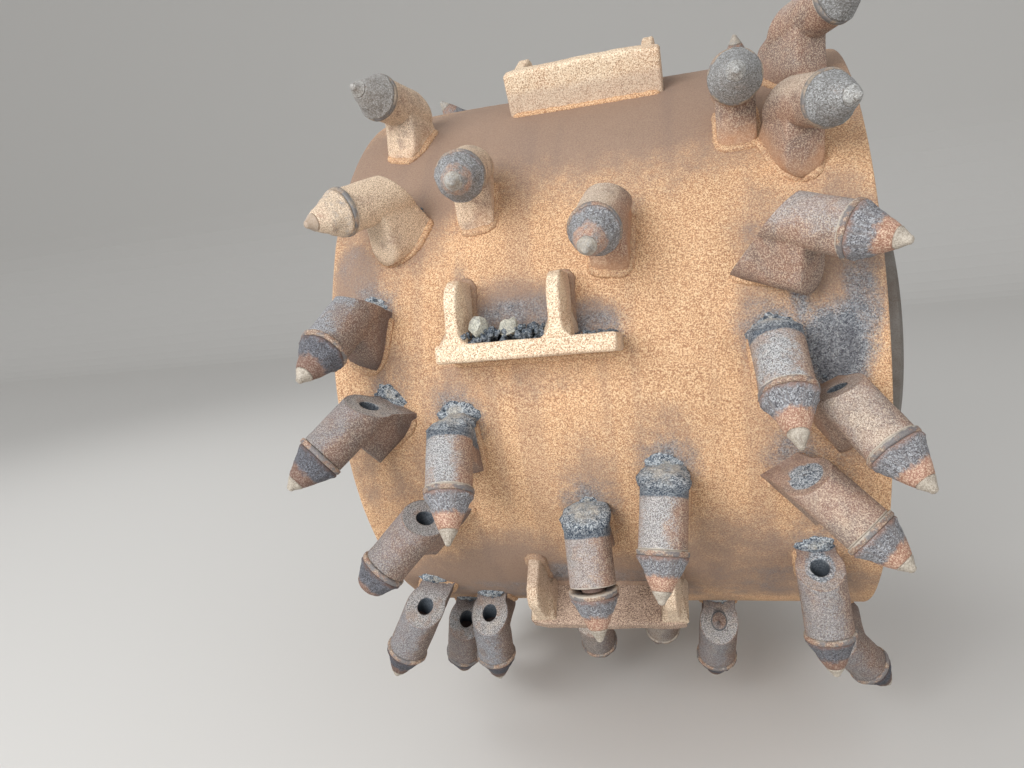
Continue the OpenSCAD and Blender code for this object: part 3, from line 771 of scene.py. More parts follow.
dirtAndShadeZones = [
    # (186, 4.5) is dirt and a painted shadow of the side plate; (-57, 12.5), (12, 10.5) and (-100, 14) are
    # dirt and painted shade in that pocket
    [186, 4.5, 27, 7, 1.25], [163, 14, 8, 8, 0.9], [206, 10, 16, 10, 0.8], [-203, -2, 14, 5, 0.6],
    [-54, -40, 16, 4, 0.7], [-57, 12.5, 46, 4.5, 0.75], [12, 10.5, 26, 3.5, 0.8], [-200, 25, 22, 6, 0.4],
    [-100, 14, 6, 6, 0.6], [150, -44, 60, 9, 0.35], [-60, -50, 180, 7, 0.45],
]
# round the back, zones drawn at random between these ends
hiddenZones = dict(seed=14, count=30, ends=((-200, 200), (75, 300), (20, 60), (6, 16), (0.3, 0.8)))
hidden = np.random.default_rng(hiddenZones["seed"])
dustAndShadeZones += [[hidden.uniform(*ends) for ends in hiddenZones["ends"]] for i in range(hiddenZones["count"])]

grimeLook = dict(
    sleeveRear=(0, -0.004, -0.106), rear=0.026, front=0.05, side=0.025, edge=1.4, amount=0.85, near=0.09,
    paddleHalf=0.075, paddleBack=0.018, paddleReach=0.022, paddleEdge=1.6, paddleFade=1.2,
    paddleAmount=0.55, ovalEdge=1.45, ovalFade=0.9, trail=(3, 30, 9, 0.55),
)


# The point of the shell behind a sleeve, and the rearward and sideways directions along the shell.
def rearFoot(row):
    tip, axes = pickFrame(row)
    middle = tip + axes @ np.array(grimeLook["sleeveRear"])
    radial = unit(middle * [0, 1, 1])
    rearward = unit(radial * (axes[:, 2] @ radial) - axes[:, 2])
    base = radial * drum["shellR"] + np.array([middle[0], 0, 0])
    return base, rearward, np.cross(rearward, radial)


# The largest of some soft ovals on the shell. Each has its full amount round its middle, where the
# distance in half widths is small, and fades out to nothing at ovalEdge.
def ovals(points, zones, cfg):
    angle = np.degrees(np.arctan2(points[..., 2], -points[..., 1]))
    total = np.zeros(points.shape[:2])
    for x, middle, halfX, halfAngle, amount in zones:
        turned = (angle - middle + 180) % 360 - 180
        reach = np.hypot((points[..., 0] - drum["middleX"] - x / 1000) / halfX * 1000, turned / halfAngle)
        total = np.maximum(total, amount * np.clip((cfg["ovalEdge"] - reach) / cfg["ovalFade"], 0, 1))
    return total


# Dirt on the shell, with painted shade: the zones, an oval halo round the rear of each sleeve, and a box with
# soft edges behind each paddle, which is dirt and painted shade in the paddle's pocket.
def shellGrimeAndShade(points, cfg):
    grime = ovals(points, dirtAndShadeZones, cfg)
    for row in allRows:
        base, rearward, sideways = rearFoot(row)
        away = points - base
        along, across = away @ rearward, away @ sideways
        oval = np.hypot(along / np.where(along > 0, cfg["rear"], cfg["front"]), across / cfg["side"])
        halo = row.dirt * cfg["amount"] * np.clip(cfg["edge"] - oval, 0, 1)
        near = np.abs(away).max(-1) < cfg["near"]
        grime = np.where(near, np.maximum(grime, halo), grime)
    for row in paddleRows:
        middle, turned = paddleFrame(row)
        local = (points - middle) @ turned
        box = np.maximum(np.abs(local[..., 0]) / cfg["paddleHalf"],
                         np.abs(local[..., 2] - cfg["paddleBack"]) / cfg["paddleReach"])
        halo = cfg["paddleAmount"] * np.clip(cfg["paddleEdge"] - box * cfg["paddleFade"], 0, 1)
        grime = np.where(local[..., 1] < 0, np.maximum(grime, halo), grime)
    return grime


# Dust on the shell, with painted shade where some zones give it: the zones, and a trail behind each holder.
def shellDustAndShade(points, cfg):
    behind, *oval = cfg["trail"]
    trails = []
    for row in allRows:
        base = rearFoot(row)[0]
        angle = np.degrees(np.arctan2(base[2], -base[1]))
        trails.append([(base[0] - drum["middleX"]) * 1000, angle + behind, *oval])
    return ovals(points, dustAndShadeZones + trails, cfg)


quarterTurn = np.linspace(0, np.pi / 2, 4)  # the steps of a rounded edge


# A round profile of x and radius, turned about X: the outer face with rounded rims, and the bore's
# mouth at both ends. Noise dents it along the radius, and noise stretched round the drum streaks it.
def makeShell(cfg):
    turn = np.linspace(0, 2 * np.pi, cfg["columns"], endpoint=False)
    low, high = drum["rimGap"], drum["rimGap"] + drum["shellLen"]
    r, bore, e, lip = drum["shellR"], drum["boreR"], cfg["edgeRound"], cfg["lip"]
    rise, run = e * np.sin(quarterTurn), e * np.cos(quarterTurn)
    xs = np.concatenate([[low + cfg["innerReach"], low + lip, low], low + e - run,
                         np.linspace(low + 2 * e, high - 2 * e, cfg["rows"]), high - e + rise,
                         [high, high - lip, high - cfg["innerReach"]]])
    rs = np.concatenate([[bore, bore, bore + lip], r - e + rise, np.full(cfg["rows"], r), r - e + run,
                         [bore + lip, bore, bore]])
    # columns run from -Y up over +Z
    ring = np.stack([np.zeros_like(turn), -np.cos(turn), np.sin(turn)], -1)
    points = ring[None] * rs[:, None, None]
    points[..., 0] = xs[:, None]
    outer = smooth(bore + cfg["fade"], r - lip, rs)[:, None]
    points = points + ring[None] * (layeredNoise(points, cfg["dents"]) * outer)[..., None]
    stripes = noise3(points / cfg["streakSize"], 1.0, cfg["streakSeed"])
    store = newStore()
    addGrid(store, points, loop=True, flip=True, grime=shellGrimeAndShade(points, grimeLook),
            dust=shellDustAndShade(points, grimeLook), streak=cfg["streakMost"] * smooth(*cfg["streakFrom"], stripes))
    finishPiece("shellSkin", store, finishes["shell"], ["shell"])


makeShell(shellLook)

# beads, plates and crumbs, shared by several pieces
bead = dict(
    spacing=0.0024, fewest=8, sides=8, tall=0.85, ripple=0.10, pitch=0.0041, wander=0.22,
    wanderCell=0.006, endLen=0.8, endLeast=0.25,
)


def lengthAlong(path):
    return np.concatenate([[0], np.cumsum(np.linalg.norm(np.diff(path, axis=0), axis=1))])


# A weld bead: a round profile carried along a path on the shell, as wide as radius, with even
# ripples and a slow wander. An open one tapers at both ends.
def addBead(store, path, radius, seed, loop=True, dust=0.35, cfg=bead):
    path = np.asarray(path, float)
    if loop:
        path = np.concatenate([path, path[:1]])
    length = lengthAlong(path)
    count = max(cfg["fewest"], int(length[-1] / cfg["spacing"]))
    at = np.linspace(0, length[-1], count, endpoint=not loop)
    line = np.stack([np.interp(at, length, path[:, k]) for k in range(3)], -1)
    ahead, behind = np.roll(line, -1, 0), np.roll(line, 1, 0)
    if not loop:
        ahead[-1], behind[0] = line[-1], line[0]
    up = unit(line * [0, 1, 1])
    side = unit(np.cross(up, ahead - behind))
    turn = np.linspace(0, 2 * np.pi, cfg["sides"], endpoint=False)
    swell = radius * (1 + cfg["ripple"] * np.sin(at * 2 * np.pi / cfg["pitch"])
                      + cfg["wander"] * noise3(line, cfg["wanderCell"], seed))
    if not loop:
        taper = np.minimum(at, at[-1] - at) / (radius * cfg["endLen"])
        swell = swell * np.clip(taper, cfg["endLeast"], 1) ** 0.5
    ring = np.cos(turn)[:, None] * side[:, None] + cfg["tall"] * np.sin(turn)[:, None] * up[:, None]
    addGrid(store, line[:, None] + swell[:, None, None] * ring, loop=loop, caps=not loop, dust=dust)


plate = dict(lumps=((0.0004, 0.011), (0.0002, 0.004)), crown=(0.008, 0.034))


# A plate of a paddle: a closed outline in the Y-Z plane carried along X, with both ends rounded
# over by the given edge. The outline runs anticlockwise about +X, and shape() wears the plate down.
def addPlate(store, outline, xs, edge, row, x, seed, shape, dust, cfg=plate):
    rise, run = edge * np.sin(quarterTurn), edge * np.cos(quarterTurn)
    ends = np.concatenate([xs[0] + edge - run, xs[1:-1], xs[-1] - edge + rise])
    inset = np.concatenate([edge - rise, np.zeros(len(xs) - 2), edge - run])
    order = np.argsort(ends, kind="stable")
    ends, inset = ends[order], inset[order]
    side = unit(np.roll(outline, -1, 0) - np.roll(outline, 1, 0))
    outward = np.stack([side[:, 1], -side[:, 0]], -1)
    flat = outline[None] - inset[:, None, None] * outward[None]
    points = shape(np.concatenate([np.broadcast_to(ends[:, None, None], flat.shape[:2] + (1,)), flat], -1))
    push = layeredNoise(points, [(*lump, seed + i) for i, lump in enumerate(cfg["lumps"])])
    points[..., 1:] += push[..., None] * outward[None]
    crown = smooth(*cfg["crown"], -points[..., 1] - drum["shellR"])
    addGrid(store, onPaddle(points + [x, 0, 0], row), caps=True, crown=crown, dust=dust)


# A polygon with rounded corners, walked at an even spacing: at each corner an arc is fitted
# between the two sides.
def roundedOutline(corners, radii, spacing=0.003, arcPoints=5):
    corners = np.asarray(corners, float)
    steps = np.linspace(0, 1, arcPoints)[:, None]
    walk = []
    for here, before, after, r in zip(corners, np.roll(corners, 1, 0), np.roll(corners, -1, 0), radii):
        a, b = unit(before - here), unit(after - here)
        half = np.arccos(np.clip(a @ b, -1, 1)) / 2
        centre = here + unit(a + b) * r / np.sin(half)
        start, end = here + a * r / np.tan(half) - centre, here + b * r / np.tan(half) - centre
        walk.append(centre + unit(start * (1 - steps) + end * steps) * r)
    walk = np.concatenate(walk)
    closed = np.concatenate([walk, walk[:1]])
    pieces = np.maximum(1, np.round(np.diff(lengthAlong(closed)) / spacing)).astype(int)
    share = np.concatenate([np.arange(count) / count for count in pieces])[:, None]
    at = np.repeat(np.arange(len(walk)), pieces)
    outline = closed[at] * (1 - share) + closed[at + 1] * share
    return outline[np.linalg.norm(outline - np.roll(outline, 1, 0), axis=1) > 1e-6]


crumb = dict(rows=5, columns=7, pole=0.35, knock=0.22, squash=(0.65, 1.1))


# A crumb: a coarse ball, knocked about, squashed and turned any way by the rng.
def addCrumb(store, centre, size, rng, cfg=crumb):
    rows, columns = cfg["rows"], cfg["columns"]
    polar = np.linspace(cfg["pole"], np.pi - cfg["pole"], rows)[:, None]
    turn = np.linspace(0, 2 * np.pi, columns, endpoint=False) + rng.uniform(0, 1)
    ball = np.stack([np.sin(polar) * np.cos(turn), np.sin(polar) * np.sin(turn),
                     np.broadcast_to(np.cos(polar), (rows, columns))], -1)
    ball = ball * (1 + rng.uniform(-cfg["knock"], cfg["knock"], (rows, columns, 1)))
    ball = ball * rng.uniform(*cfg["squash"], 3)
    spin, _ = np.linalg.qr(rng.normal(size=(3, 3)))
    if np.linalg.det(spin) < 0:
        spin[:, 0] *= -1
    addGrid(store, centre + (ball @ spin.T) * size / 2, caps=True, flip=True)


# pick holders: a sleeve on a foot, and the weld round it
holder = dict(
    sleeveR=0.019, length=0.054, head=0.046, slope=35.0, footHalf=0.0155, footDrop=0.040, footBack=0.026,
    knockR=0.0075, boreR=0.0112, sink=0.0015, upperColumns=37, legColumns=6, underColumns=11,
    sleeveRows=7, turnRows=8, footRows=8, turnHalf=0.0014, edgeInset=0.985,
    # rings of the bore's mouth: depth behind the front, then the layers rim, deep, cap and hole
    boreRings=((0.008, 0, 0.6, 0, 1), (0, 0, 0.4, 0, 0)),
    # rings of the sleeve's lip: how far inside its radius, depth behind the front, and the layer rim
    lipRings=((0.0011, 0, 0.6), (0.0003, 0.0003, 0.9), (0, 0.0010, 0.75), (0, 0.0020, 0.15)),
    sleeveGap=0.002, sleeveEnd=0.0022, footStart=0.002, footSpan=(0.12, 0.97),
    faceShares=(0.12, 0.4, 0.7, 0.92, 1.0), faceEdge=(0.0002, 0.4, 0.6),
    # rings in the knock-out hole: share of its radius, depth, then the layers rim, deep, cap and hole
    holeRings=((0.97, 0.0015, 0, 0.8, 0.4, 0.8), (0.95, 0.010, 0, 1.0, 0, 1)),
    lumps=((0.00028, 0.014, 21), (0.000168, 0.0045, 22)), beadR=0.0038, beadSeed=31, weldSteps=8,
    noiseShift=(0.31, 0.17),
)
rearSlope = np.tan(np.radians(holder["slope"]))
# from packedFrom on, a row's dirt fills the knock-out hole, and from buriedFrom on all the rear face
holderDirt = dict(
    packedFrom=0.7, buriedFrom=0.9, plugged=(73, -76.5), plugShare=0.86, packedShare=0.5, lastShare=0.03,
    packedDepth=0.0016, plugHole=0.9, siltDepth=0.028, siltLift=0.0012, siltElsewhere=0.5,
    bank=(-0.10, 0.14), patchR=0.0125, patchSoft=0.002, capDirt=(0.35, 0.8), outwards=(-0.34, 0.94),
    greyCap=1.1, plainCap=0.7, capTone=0.95, greyBelow=-50, filmRim=0.5,
)


# The round sleeve and the sleeve with its foot, with the same columns, anticlockwise about +Z.
# The foot has two straight legs and a half round under them.
def holderOutlines(cfg):
    r, half, drop = cfg["sleeveR"], cfg["footHalf"], cfg["footDrop"]
    low = np.pi - np.arcsin(half / r)
    upper = np.linspace(-low, low, cfg["upperColumns"])
    leg = np.linspace(r * np.cos(low), -drop, cfg["legColumns"] + 1)[1:]
    under = np.linspace(np.pi, 2 * np.pi, cfg["underColumns"] + 2)[1:-1]
    foot = np.concatenate([
        np.stack([np.full_like(leg, -half), leg], -1),
        np.stack([half * np.cos(under), -drop + half * np.sin(under)], -1),
        np.stack([np.full_like(leg, half), leg[::-1]], -1),
    ])
    lower = np.linspace(low, 2 * np.pi - low, len(foot) + 2)[1:-1]
    turn = np.concatenate([upper, lower])
    sleeve = np.stack([-r * np.sin(turn), r * np.cos(turn)], -1)
    return sleeve, np.concatenate([sleeve[:len(upper)], foot])


# Grid of a holder in the pick's frame, ring after ring from the bore's mouth along the sleeve and
# the foot to the slanted rear face and into its knock-out hole. With it come the layers rim, deep,
# cap and hole, and the number of the first ring that turns into the foot.
def holderRings(cfg):
    sleeve, keyhole = holderOutlines(cfg)
    r, front, rear = cfg["sleeveR"], -cfg["head"], -cfg["head"] - cfg["length"]
    toe = front - cfg["footBack"]
    rings, layers = [], []

    def add(flat, z, rim=0.0, deep=0.0, cap=0.0, hole=0.0):
        rings.append(np.column_stack([flat, np.broadcast_to(z, len(flat))]))
        layers.append([rim, deep, cap, hole])

    for depth, *look in cfg["boreRings"]:
        add(sleeve * cfg["boreR"] / r, front - depth, *look)
    for inside, depth, rim in cfg["lipRings"]:
        add(sleeve * (r - inside) / r, front - depth, rim)
    lipEnd = cfg["lipRings"][-1][1]
    for z in np.linspace(front - lipEnd - cfg["sleeveGap"], toe + cfg["sleeveEnd"], cfg["sleeveRows"]):
        add(sleeve, z)
    footRing = len(rings)
    for b in np.linspace(0, 1, cfg["turnRows"]):
        add(sleeve * (1 - b) + keyhole * b, toe + cfg["turnHalf"] * (1 - 2 * b))
    last = rear + keyhole[:, 1] * rearSlope
    for t in np.linspace(*cfg["footSpan"], cfg["footRows"]):
        add(keyhole, (toe - cfg["footStart"]) * (1 - t) + last * t)
    inner, hole = keyhole * cfg["edgeInset"], sleeve * cfg["knockR"] / r
    behind, rim, cap = cfg["faceEdge"]
    add(inner, rear + inner[:, 1] * rearSlope - behind, rim, 0, cap)
    for t in cfg["faceShares"]:
        flat = inner * (1 - t) + hole * (t + (1 - cfg["edgeInset"]) * (1 - t))
        add(flat, rear + flat[:, 1] * rearSlope, 0, 0, 1.0)
    # the first of these still slants with the face
    for slant, (share, depth, *look) in zip((rearSlope, 0), cfg["holeRings"]):
        add(hole * share, rear + hole[:, 1] * slant + depth, *look)
    return np.array(rings), np.array(layers).T[..., None], footRing


# What reaches deeper than the given depth under the shell's surface is held just there.
def sinkUnder(points, depth):
    r = radiusOf(points)
    return scaleRadius(points, np.maximum(r, drum["shellR"] - depth) / r)


# Where the foot's columns cross the shell's surface, front round, then straight across the rear.
def weldPath(world, footRing, cfg):
    r = radiusOf(world)
    under = r[footRing:, cfg["upperColumns"]:] < drum["shellR"]
    first = under.argmax(0)
    column = np.nonzero(under.any(0) & (first > 0))[0]
    ring, column = footRing + first[column], column + cfg["upperColumns"]
    above, below = r[ring - 1, column], r[ring, column]
    t = ((above - drum["shellR"]) / (above - below))[:, None]
    path = world[ring - 1, column] * (1 - t) + world[ring, column] * t
    back = path[-1] + (path[0] - path[-1]) * np.linspace(0, 1, cfg["weldSteps"])[1:-1, None]
    path = np.concatenate([path, back])
    return scaleRadius(path, drum["shellR"] / radiusOf(path))


# Fills the knock-out hole of a packed or plugged row: the last two rings rise to the rear face and
# close. It gives the layers hole and deep that belong to them.
def fillHole(local, hole, deep, packed, plugged, cfg):
    local[-2, :, :2] *= cfg["plugShare"] if plugged else cfg["packedShare"]
    local[-1, :, :2] *= cfg["lastShare"]
    local[-2:, :, 2] = local[-3, :, 2].mean() - (0.0 if plugged else cfg["packedDepth"])
    local[-2:, :, 2] += local[-2:, :, 1] * rearSlope
    hole, deep = np.zeros_like(hole), deep.copy()
    hole[-3], deep[-2:] = cfg["plugHole"] * plugged, packed
    return hole, deep


# The layers that a holder's material reads, ring by ring, once its hole is filled where dirt does that.
def holderLooks(local, outward, rim, deep, cap, hole, row, cfg):
    packed, buried = row.dirt >= cfg["packedFrom"], row.dirt >= cfg["buriedFrom"]
    plugged = (row.x, row.angle) == cfg["plugged"]
    if packed or plugged:
        hole, deep = fillHole(local, hole, deep, packed, plugged, cfg)
    # how far a point lies behind the rear face's upper edge
    upperEdge = holder["sleeveR"] * rearSlope - holder["head"] - holder["length"] + cfg["siltLift"]
    silt = (upperEdge - local[..., 2]) / cfg["siltDepth"]
    soft = cfg["patchSoft"]
    fromHole = np.hypot(local[..., 0], local[..., 1])
    patch = 1.0 if buried else smooth(cfg["patchR"] + soft, cfg["patchR"] - soft, fromHole)
    rearDirt = cap * smooth(*cfg["capDirt"], row.dirt) * patch
    greyRear = row.x < 0 or row.angle < cfg["greyBelow"]
    # outer: how far a point faces outwards, leaning a little sideways; dust lies there, also painted as the
    # lit side
    outer = np.clip(outward @ np.array(cfg["outwards"]), 0, 1) * (cap < 0.5)
    return dict(
        rim=rim * (1 - cfg["filmRim"] * filmOn(row)), film=filmOn(row) * (1 - cap), hole=hole,
        crown=np.maximum(outer, cap * (cfg["greyCap"] if greyRear else cfg["plainCap"])),
        tone=np.maximum(row.tone, cap * cfg["capTone"] * greyRear), sandy=row.sandy,
        deep=np.clip(deep + rearDirt + smooth(*cfg["bank"], silt) * buried, 0, 1),
        silt=np.clip(silt, 0, 1) if buried else cfg["siltElsewhere"],
    )


def makeHolders(cfg):
    grid, layers, footRing = holderRings(cfg)
    rim, deep, cap, hole = layers
    flat = grid[..., :2] * 1.0
    flat[..., 1] -= np.clip(flat[..., 1], -cfg["footDrop"], 0)
    outward = unit(flat)
    outer = (deep < 0.5) & (cap < 0.9)
    beads = newStore()
    for zone, rows in pickRows.items():
        store = newStore()
        for n, row in enumerate(rows):
            local = grid.copy()
            push = layeredNoise(grid + noiseShift(n, cfg), cfg["lumps"]) * outer
            local[..., :2] += outward * push[..., None]
            looks = holderLooks(local, outward, rim, deep, cap, hole, row, holderDirt)
            world = onPick(local, row)
            addGrid(store, sinkUnder(world, cfg["sink"]), loop=True, flip=True, **looks)
            addBead(beads, weldPath(world, footRing, cfg), cfg["beadR"], cfg["beadSeed"] + n)
        finishPiece(zoneName("holders", zone), store, finishes["holder"], ["holders_" + zone])
    finishPiece("holderWelds", beads, finishes["shell"])


makeHolders(holder)

# picks: cone and shoulder, carbide tip and wear washer
pick = dict(
    collarR=0.01975, coneR=0.0122, tipR=0.0073, tipLen=0.013, tipLeast=0.005, shankR=0.0098,
    washerR=0.0205, washerT=0.0045, washerBore=0.0115, columns=44, tipColumns=32, washerColumns=48,
    # over the washer: where the shoulder starts and ends, the neck under the cone, and where that starts
    shankLen=0.045, shoulderLow=0.0028, shoulderHigh=0.0153, neck=0.0158, coneLow=0.0172,
    shoulderRows=9, shoulderPower=0.85, coneRows=8, conePower=1.1,
    # steps at the worn edges of shank, collar, shoulder and cone
    shankStep=0.001, collarIn=0.0005, collarUp=0.0004, collarTop=0.0022, shoulderIn=0.0004,
    shoulderKeeps=0.0010, coneStep=0.0003, coneKeeps=0.0007, seatR=0.005, coreR=0.004,
    # the tip's nose, and its edge: where that starts and ends over the base, and how far in it goes
    noseRows=6, noseShare=0.34, noseWear=0.12, blunt=0.008, noseTall=0.75, noseEnd=0.12, noseOut=0.00001,
    tipEdge=(0.0014, 0.0018, 0.0004),
    # the washer's edges: height over its face or depth under its top, how far inside its radius, its rim
    washerLow=((0, 0.0008, 0.9), (0.0006, 0, 0.7)), washerInner=0.1,
    washerHigh=((0.0012, 0, 0.0), (0.0003, 0.0006, 0.1), (0, 0.0016, 0.2)),
    # the cake on a pick's outside, the fine noise all over it, and the hollow that wear makes in its front
    outsideR=0.0101, cakeFrom=(0.46, 0.6), cakes=((0.0009, 0.008, 41), (0.00045, 0.003, 42)),
    grains=((0.00022, 0.005, 43),), hollow=0.0011, hollowFrom=(0.3, 0.62), hollowTurn=0.6, hollowSeed=900,
    tipGrains=((0.00025, 0.003, 45),), tipFrom=0.003, washerGrains=((0.0003, 0.007, 47),),
    washerFrom=0.013, washerFilm=0.6, noiseShift=(0.23, 0.41), ringShift=7.0,
    # the pick that stands loose in its holder, and its washer: tilt in degrees and lift in metres
    looseRow=(-6, -33.5), looseTilt=4.0, looseLift=0.0035, washerTilt=9.0, washerLift=0.0022,
    # dust cover from 0 to 1: least, more on the rows that face upwards, and less round the back
    coverLeast=0.1, coverMore=0.8, coverFrom=(12, 26), coverBack=(95, 110), coverLess=0.5,
    sandyFrom=(0.8, 0.9), sandyMost=0.85, covers={(-80, 27.5): 0.6, (-206, 24.5): 0.75, (18, 17): 0.5},
)


# A profile of radius against height, turned about Z, anticlockwise from +Y.
def revolve(zs, rs, columns):
    turn = np.linspace(0, 2 * np.pi, columns, endpoint=False)
    ring = np.stack([-np.sin(turn), np.cos(turn), np.zeros(columns)], -1)
    points = ring[None] * rs[:, None, None]
    points[..., 2] = zs[:, None]
    return points, ring


# Heights and radii of a pick, from its shank over the collar and a shoulder that falls by a power
# of its own to a cone that narrows by another. Worn edges stand a few tenths of a mm in or out.
def pickProfile(cfg, wear):
    under = -holder["head"] + cfg["washerT"]
    seat = -wear - max(0.0, cfg["tipLen"] - wear / 2)
    collar, cone, shank = cfg["collarR"], cfg["coneR"], cfg["shankR"]
    low, step = -cfg["shankLen"], cfg["coneStep"]
    foot = np.array([(low, cfg["coreR"]), (low, shank), (-cfg["shankStep"], shank), (0, shank),
                     (0, collar - cfg["collarIn"]), (cfg["collarUp"], collar), (cfg["collarTop"], collar)])
    t, s = np.linspace(0, 1, cfg["shoulderRows"]), np.linspace(0, 1, cfg["coneRows"])
    coneLow = under + cfg["coneLow"]
    shoulder = cfg["shoulderLow"] * (1 - t) + cfg["shoulderHigh"] * t
    zs = np.concatenate([under + foot[:, 0], under + shoulder, [under + cfg["neck"]],
                         coneLow + (seat - coneLow) * s, [seat]])
    fall = (collar - cone - cfg["shoulderKeeps"]) * t ** cfg["shoulderPower"]
    narrowing = (cone - cfg["tipR"] - cfg["coneKeeps"]) * s ** cfg["conePower"]
    rs = np.concatenate([foot[:, 1], collar - cfg["shoulderIn"] - fall, [cone + step],
                         cone - step - narrowing, [cfg["seatR"]]])
    return zs, rs


# Heights and radii of a tip: a short cylinder and a blunt nose, a quarter ellipse that grows with wear.
def tipProfile(cfg, wear):
    base = -wear - cfg["tipLen"] + wear / 2
    t = np.linspace(0, np.pi / 2, cfg["noseRows"])
    nose = cfg["tipR"] * (cfg["noseShare"] + cfg["noseWear"] * min(1.0, wear / cfg["blunt"]))
    r, fall = cfg["tipR"], cfg["noseTall"] * nose * (1 - np.sin(t))
    edgeLow, edgeHigh, edgeIn = cfg["tipEdge"]
    zs = np.concatenate([base + np.array([0, 0, edgeLow, edgeHigh]), -wear - fall])
    rs = np.concatenate([[cfg["coreR"], r, r, r - edgeIn], nose * np.cos(t) + cfg["noseOut"]])
    rs[-1] = nose * cfg["noseEnd"]
    return zs, rs


# Heights, radii and worn rims of a washer's section, over its face on the holder.
def washerProfile(cfg):
    r, bore, thick = cfg["washerR"], cfg["washerBore"], cfg["washerT"]
    low = [(up, r - inside, rim) for up, inside, rim in cfg["washerLow"]]
    high = [(thick - down, r - inside, rim) for down, inside, rim in cfg["washerHigh"]]
    return np.array([(0, bore, cfg["washerInner"]), *low, *high, (thick, bore, 0.0)]).T


# Tilts points about the holder's front, and lifts them.
def tilted(points, degrees, lift):
    pivot = np.array([0, 0, -holder["head"]])
    return (points - pivot) @ turnX(degrees).T + pivot + [0, 0, lift]


# How a pick's outside stands off its profile: cakes near the shoulder, fine noise, and a worn
# hollow on the side that faces a turn drawn for it.
def pickRelief(points, ring, rs, along, shift, seed, cfg):
    outside = (rs > cfg["outsideR"])[:, None]
    turn = np.random.default_rng(seed).uniform(-cfg["hollowTurn"], cfg["hollowTurn"])
    facing = np.clip(ring @ np.array([np.sin(turn), np.cos(turn), 0]), 0, 1) ** 2
    caked = smooth(*cfg["cakeFrom"], along)[:, None]
    hollow = cfg["hollow"] * smooth(*cfg["hollowFrom"], along)[:, None] * facing[None]
    relief = caked * layeredNoise(points + shift, cfg["cakes"]) + layeredNoise(points + shift, cfg["grains"])
    return outside * (relief - hollow)


def makePicks(cfg):
    for zone, rows in pickRows.items():
        bodies, tips, washers = newStore(), newStore(), newStore()
        for n, row in enumerate(rows):
            wear, shift = row.wear / 1000, noiseShift(n, cfg)
            loose = (row.x, row.angle) == cfg["looseRow"]
            tilt, lift = (cfg["looseTilt"], cfg["looseLift"]) if loose else (0.0, 0.0)
            back = 1 - cfg["coverLess"] * smooth(*cfg["coverBack"], row.angle)
            usual = cfg["coverLeast"] + cfg["coverMore"] * smooth(*cfg["coverFrom"], row.angle) * back
            dust = dict(cover=cfg["covers"].get((row.x, row.angle), usual),
                        sandy=cfg["sandyMost"] * smooth(*cfg["sandyFrom"], row.sandy))
            zs, rs = pickProfile(cfg, wear)
            points, ring = revolve(zs, rs, cfg["columns"])
            along = np.clip(-zs / holder["head"], 0, 1)
            relief = pickRelief(points, ring, rs, along, shift, cfg["hollowSeed"] + n, cfg)
            points = tilted(points + ring[None] * relief[..., None], tilt, lift)
            addGrid(bodies, onPick(points, row), caps=True, along=along[:, None], ringX=ring[None, :, 0],
                    ringY=ring[None, :, 1] + cfg["ringShift"] * n, film=filmOn(row), **dust)
            if cfg["tipLen"] - wear / 2 > cfg["tipLeast"]:
                zs, rs = tipProfile(cfg, wear)
                points, ring = revolve(zs, rs, cfg["tipColumns"])
                relief = layeredNoise(points + shift, cfg["tipGrains"]) * (rs > cfg["tipFrom"])[:, None]
                points = tilted(points + ring[None] * relief[..., None], tilt, lift)
                addGrid(tips, onPick(points, row), caps=True, **dust)
            zs, rs, rim = washerProfile(cfg)
            points, ring = revolve(zs - holder["head"], rs, cfg["washerColumns"])
            outside = (rs > cfg["washerFrom"])[:, None]
            relief = layeredNoise(points + shift, cfg["washerGrains"]) * outside
            points = points + ring[None] * relief[..., None]
            if loose:
                points = tilted(points, cfg["washerTilt"], cfg["washerLift"])
            addGrid(washers, onPick(points, row), loop=True, cover=dust["cover"],
                    rim=rim[:, None] * (1 - cfg["washerFilm"] * filmOn(row)))
        finishPiece(zoneName("picks", zone), bodies, finishes["pick"], ["picks_" + zone])
        finishPiece(zoneName("tips", zone), tips, finishes["carbide"], ["tips_" + zone])
        finishPiece(zoneName("washers", zone), washers, finishes["washer"],
                    ["washers_" + zone])


makePicks(pick)

# ejector paddles: a plate on two gussets, welded to the shell
paddle = dict(
    length=0.144, height=0.041, thick=0.012, root=0.012, crust=0.0024, plateEdge=0.0026, plateRows=50,
    plateSeed=71, gussetThick=0.011, gussetLen=0.054, gussetHeight=0.037, gussetEdge=0.0024, gussetRows=8,
    gussetSeed=81, flare=0.009, flareShare=0.75, gussetDust=0.4,
    # wear of the plate's outer edge: at its ends, all along, and a wavy part with its cell and seed
    endWear=0.0015, endLen=0.016, wornEdge=0.0008, wavyWear=0.0012, wavyCell=0.03, wavySeed=61, wearFrom=0.3,
    # beads: radius, seed and dust of those in front, behind and round the gussets
    frontBead=(0.0036, 91, 0.1), backBead=(0.0042, 95, 0.9), gussetBead=(0.0043, 99, 0.75),
    endGap=0.003, beadGap=0.001, sideGap=0.0008, bowGap=0.0005, frontSteps=20, backSteps=12, bowSteps=17,
    plateRadii=(0.001, 0.0020, 0.0032, 0.001), gussetRadii=(0.0008, 0.003), rootInset=0.001,
)


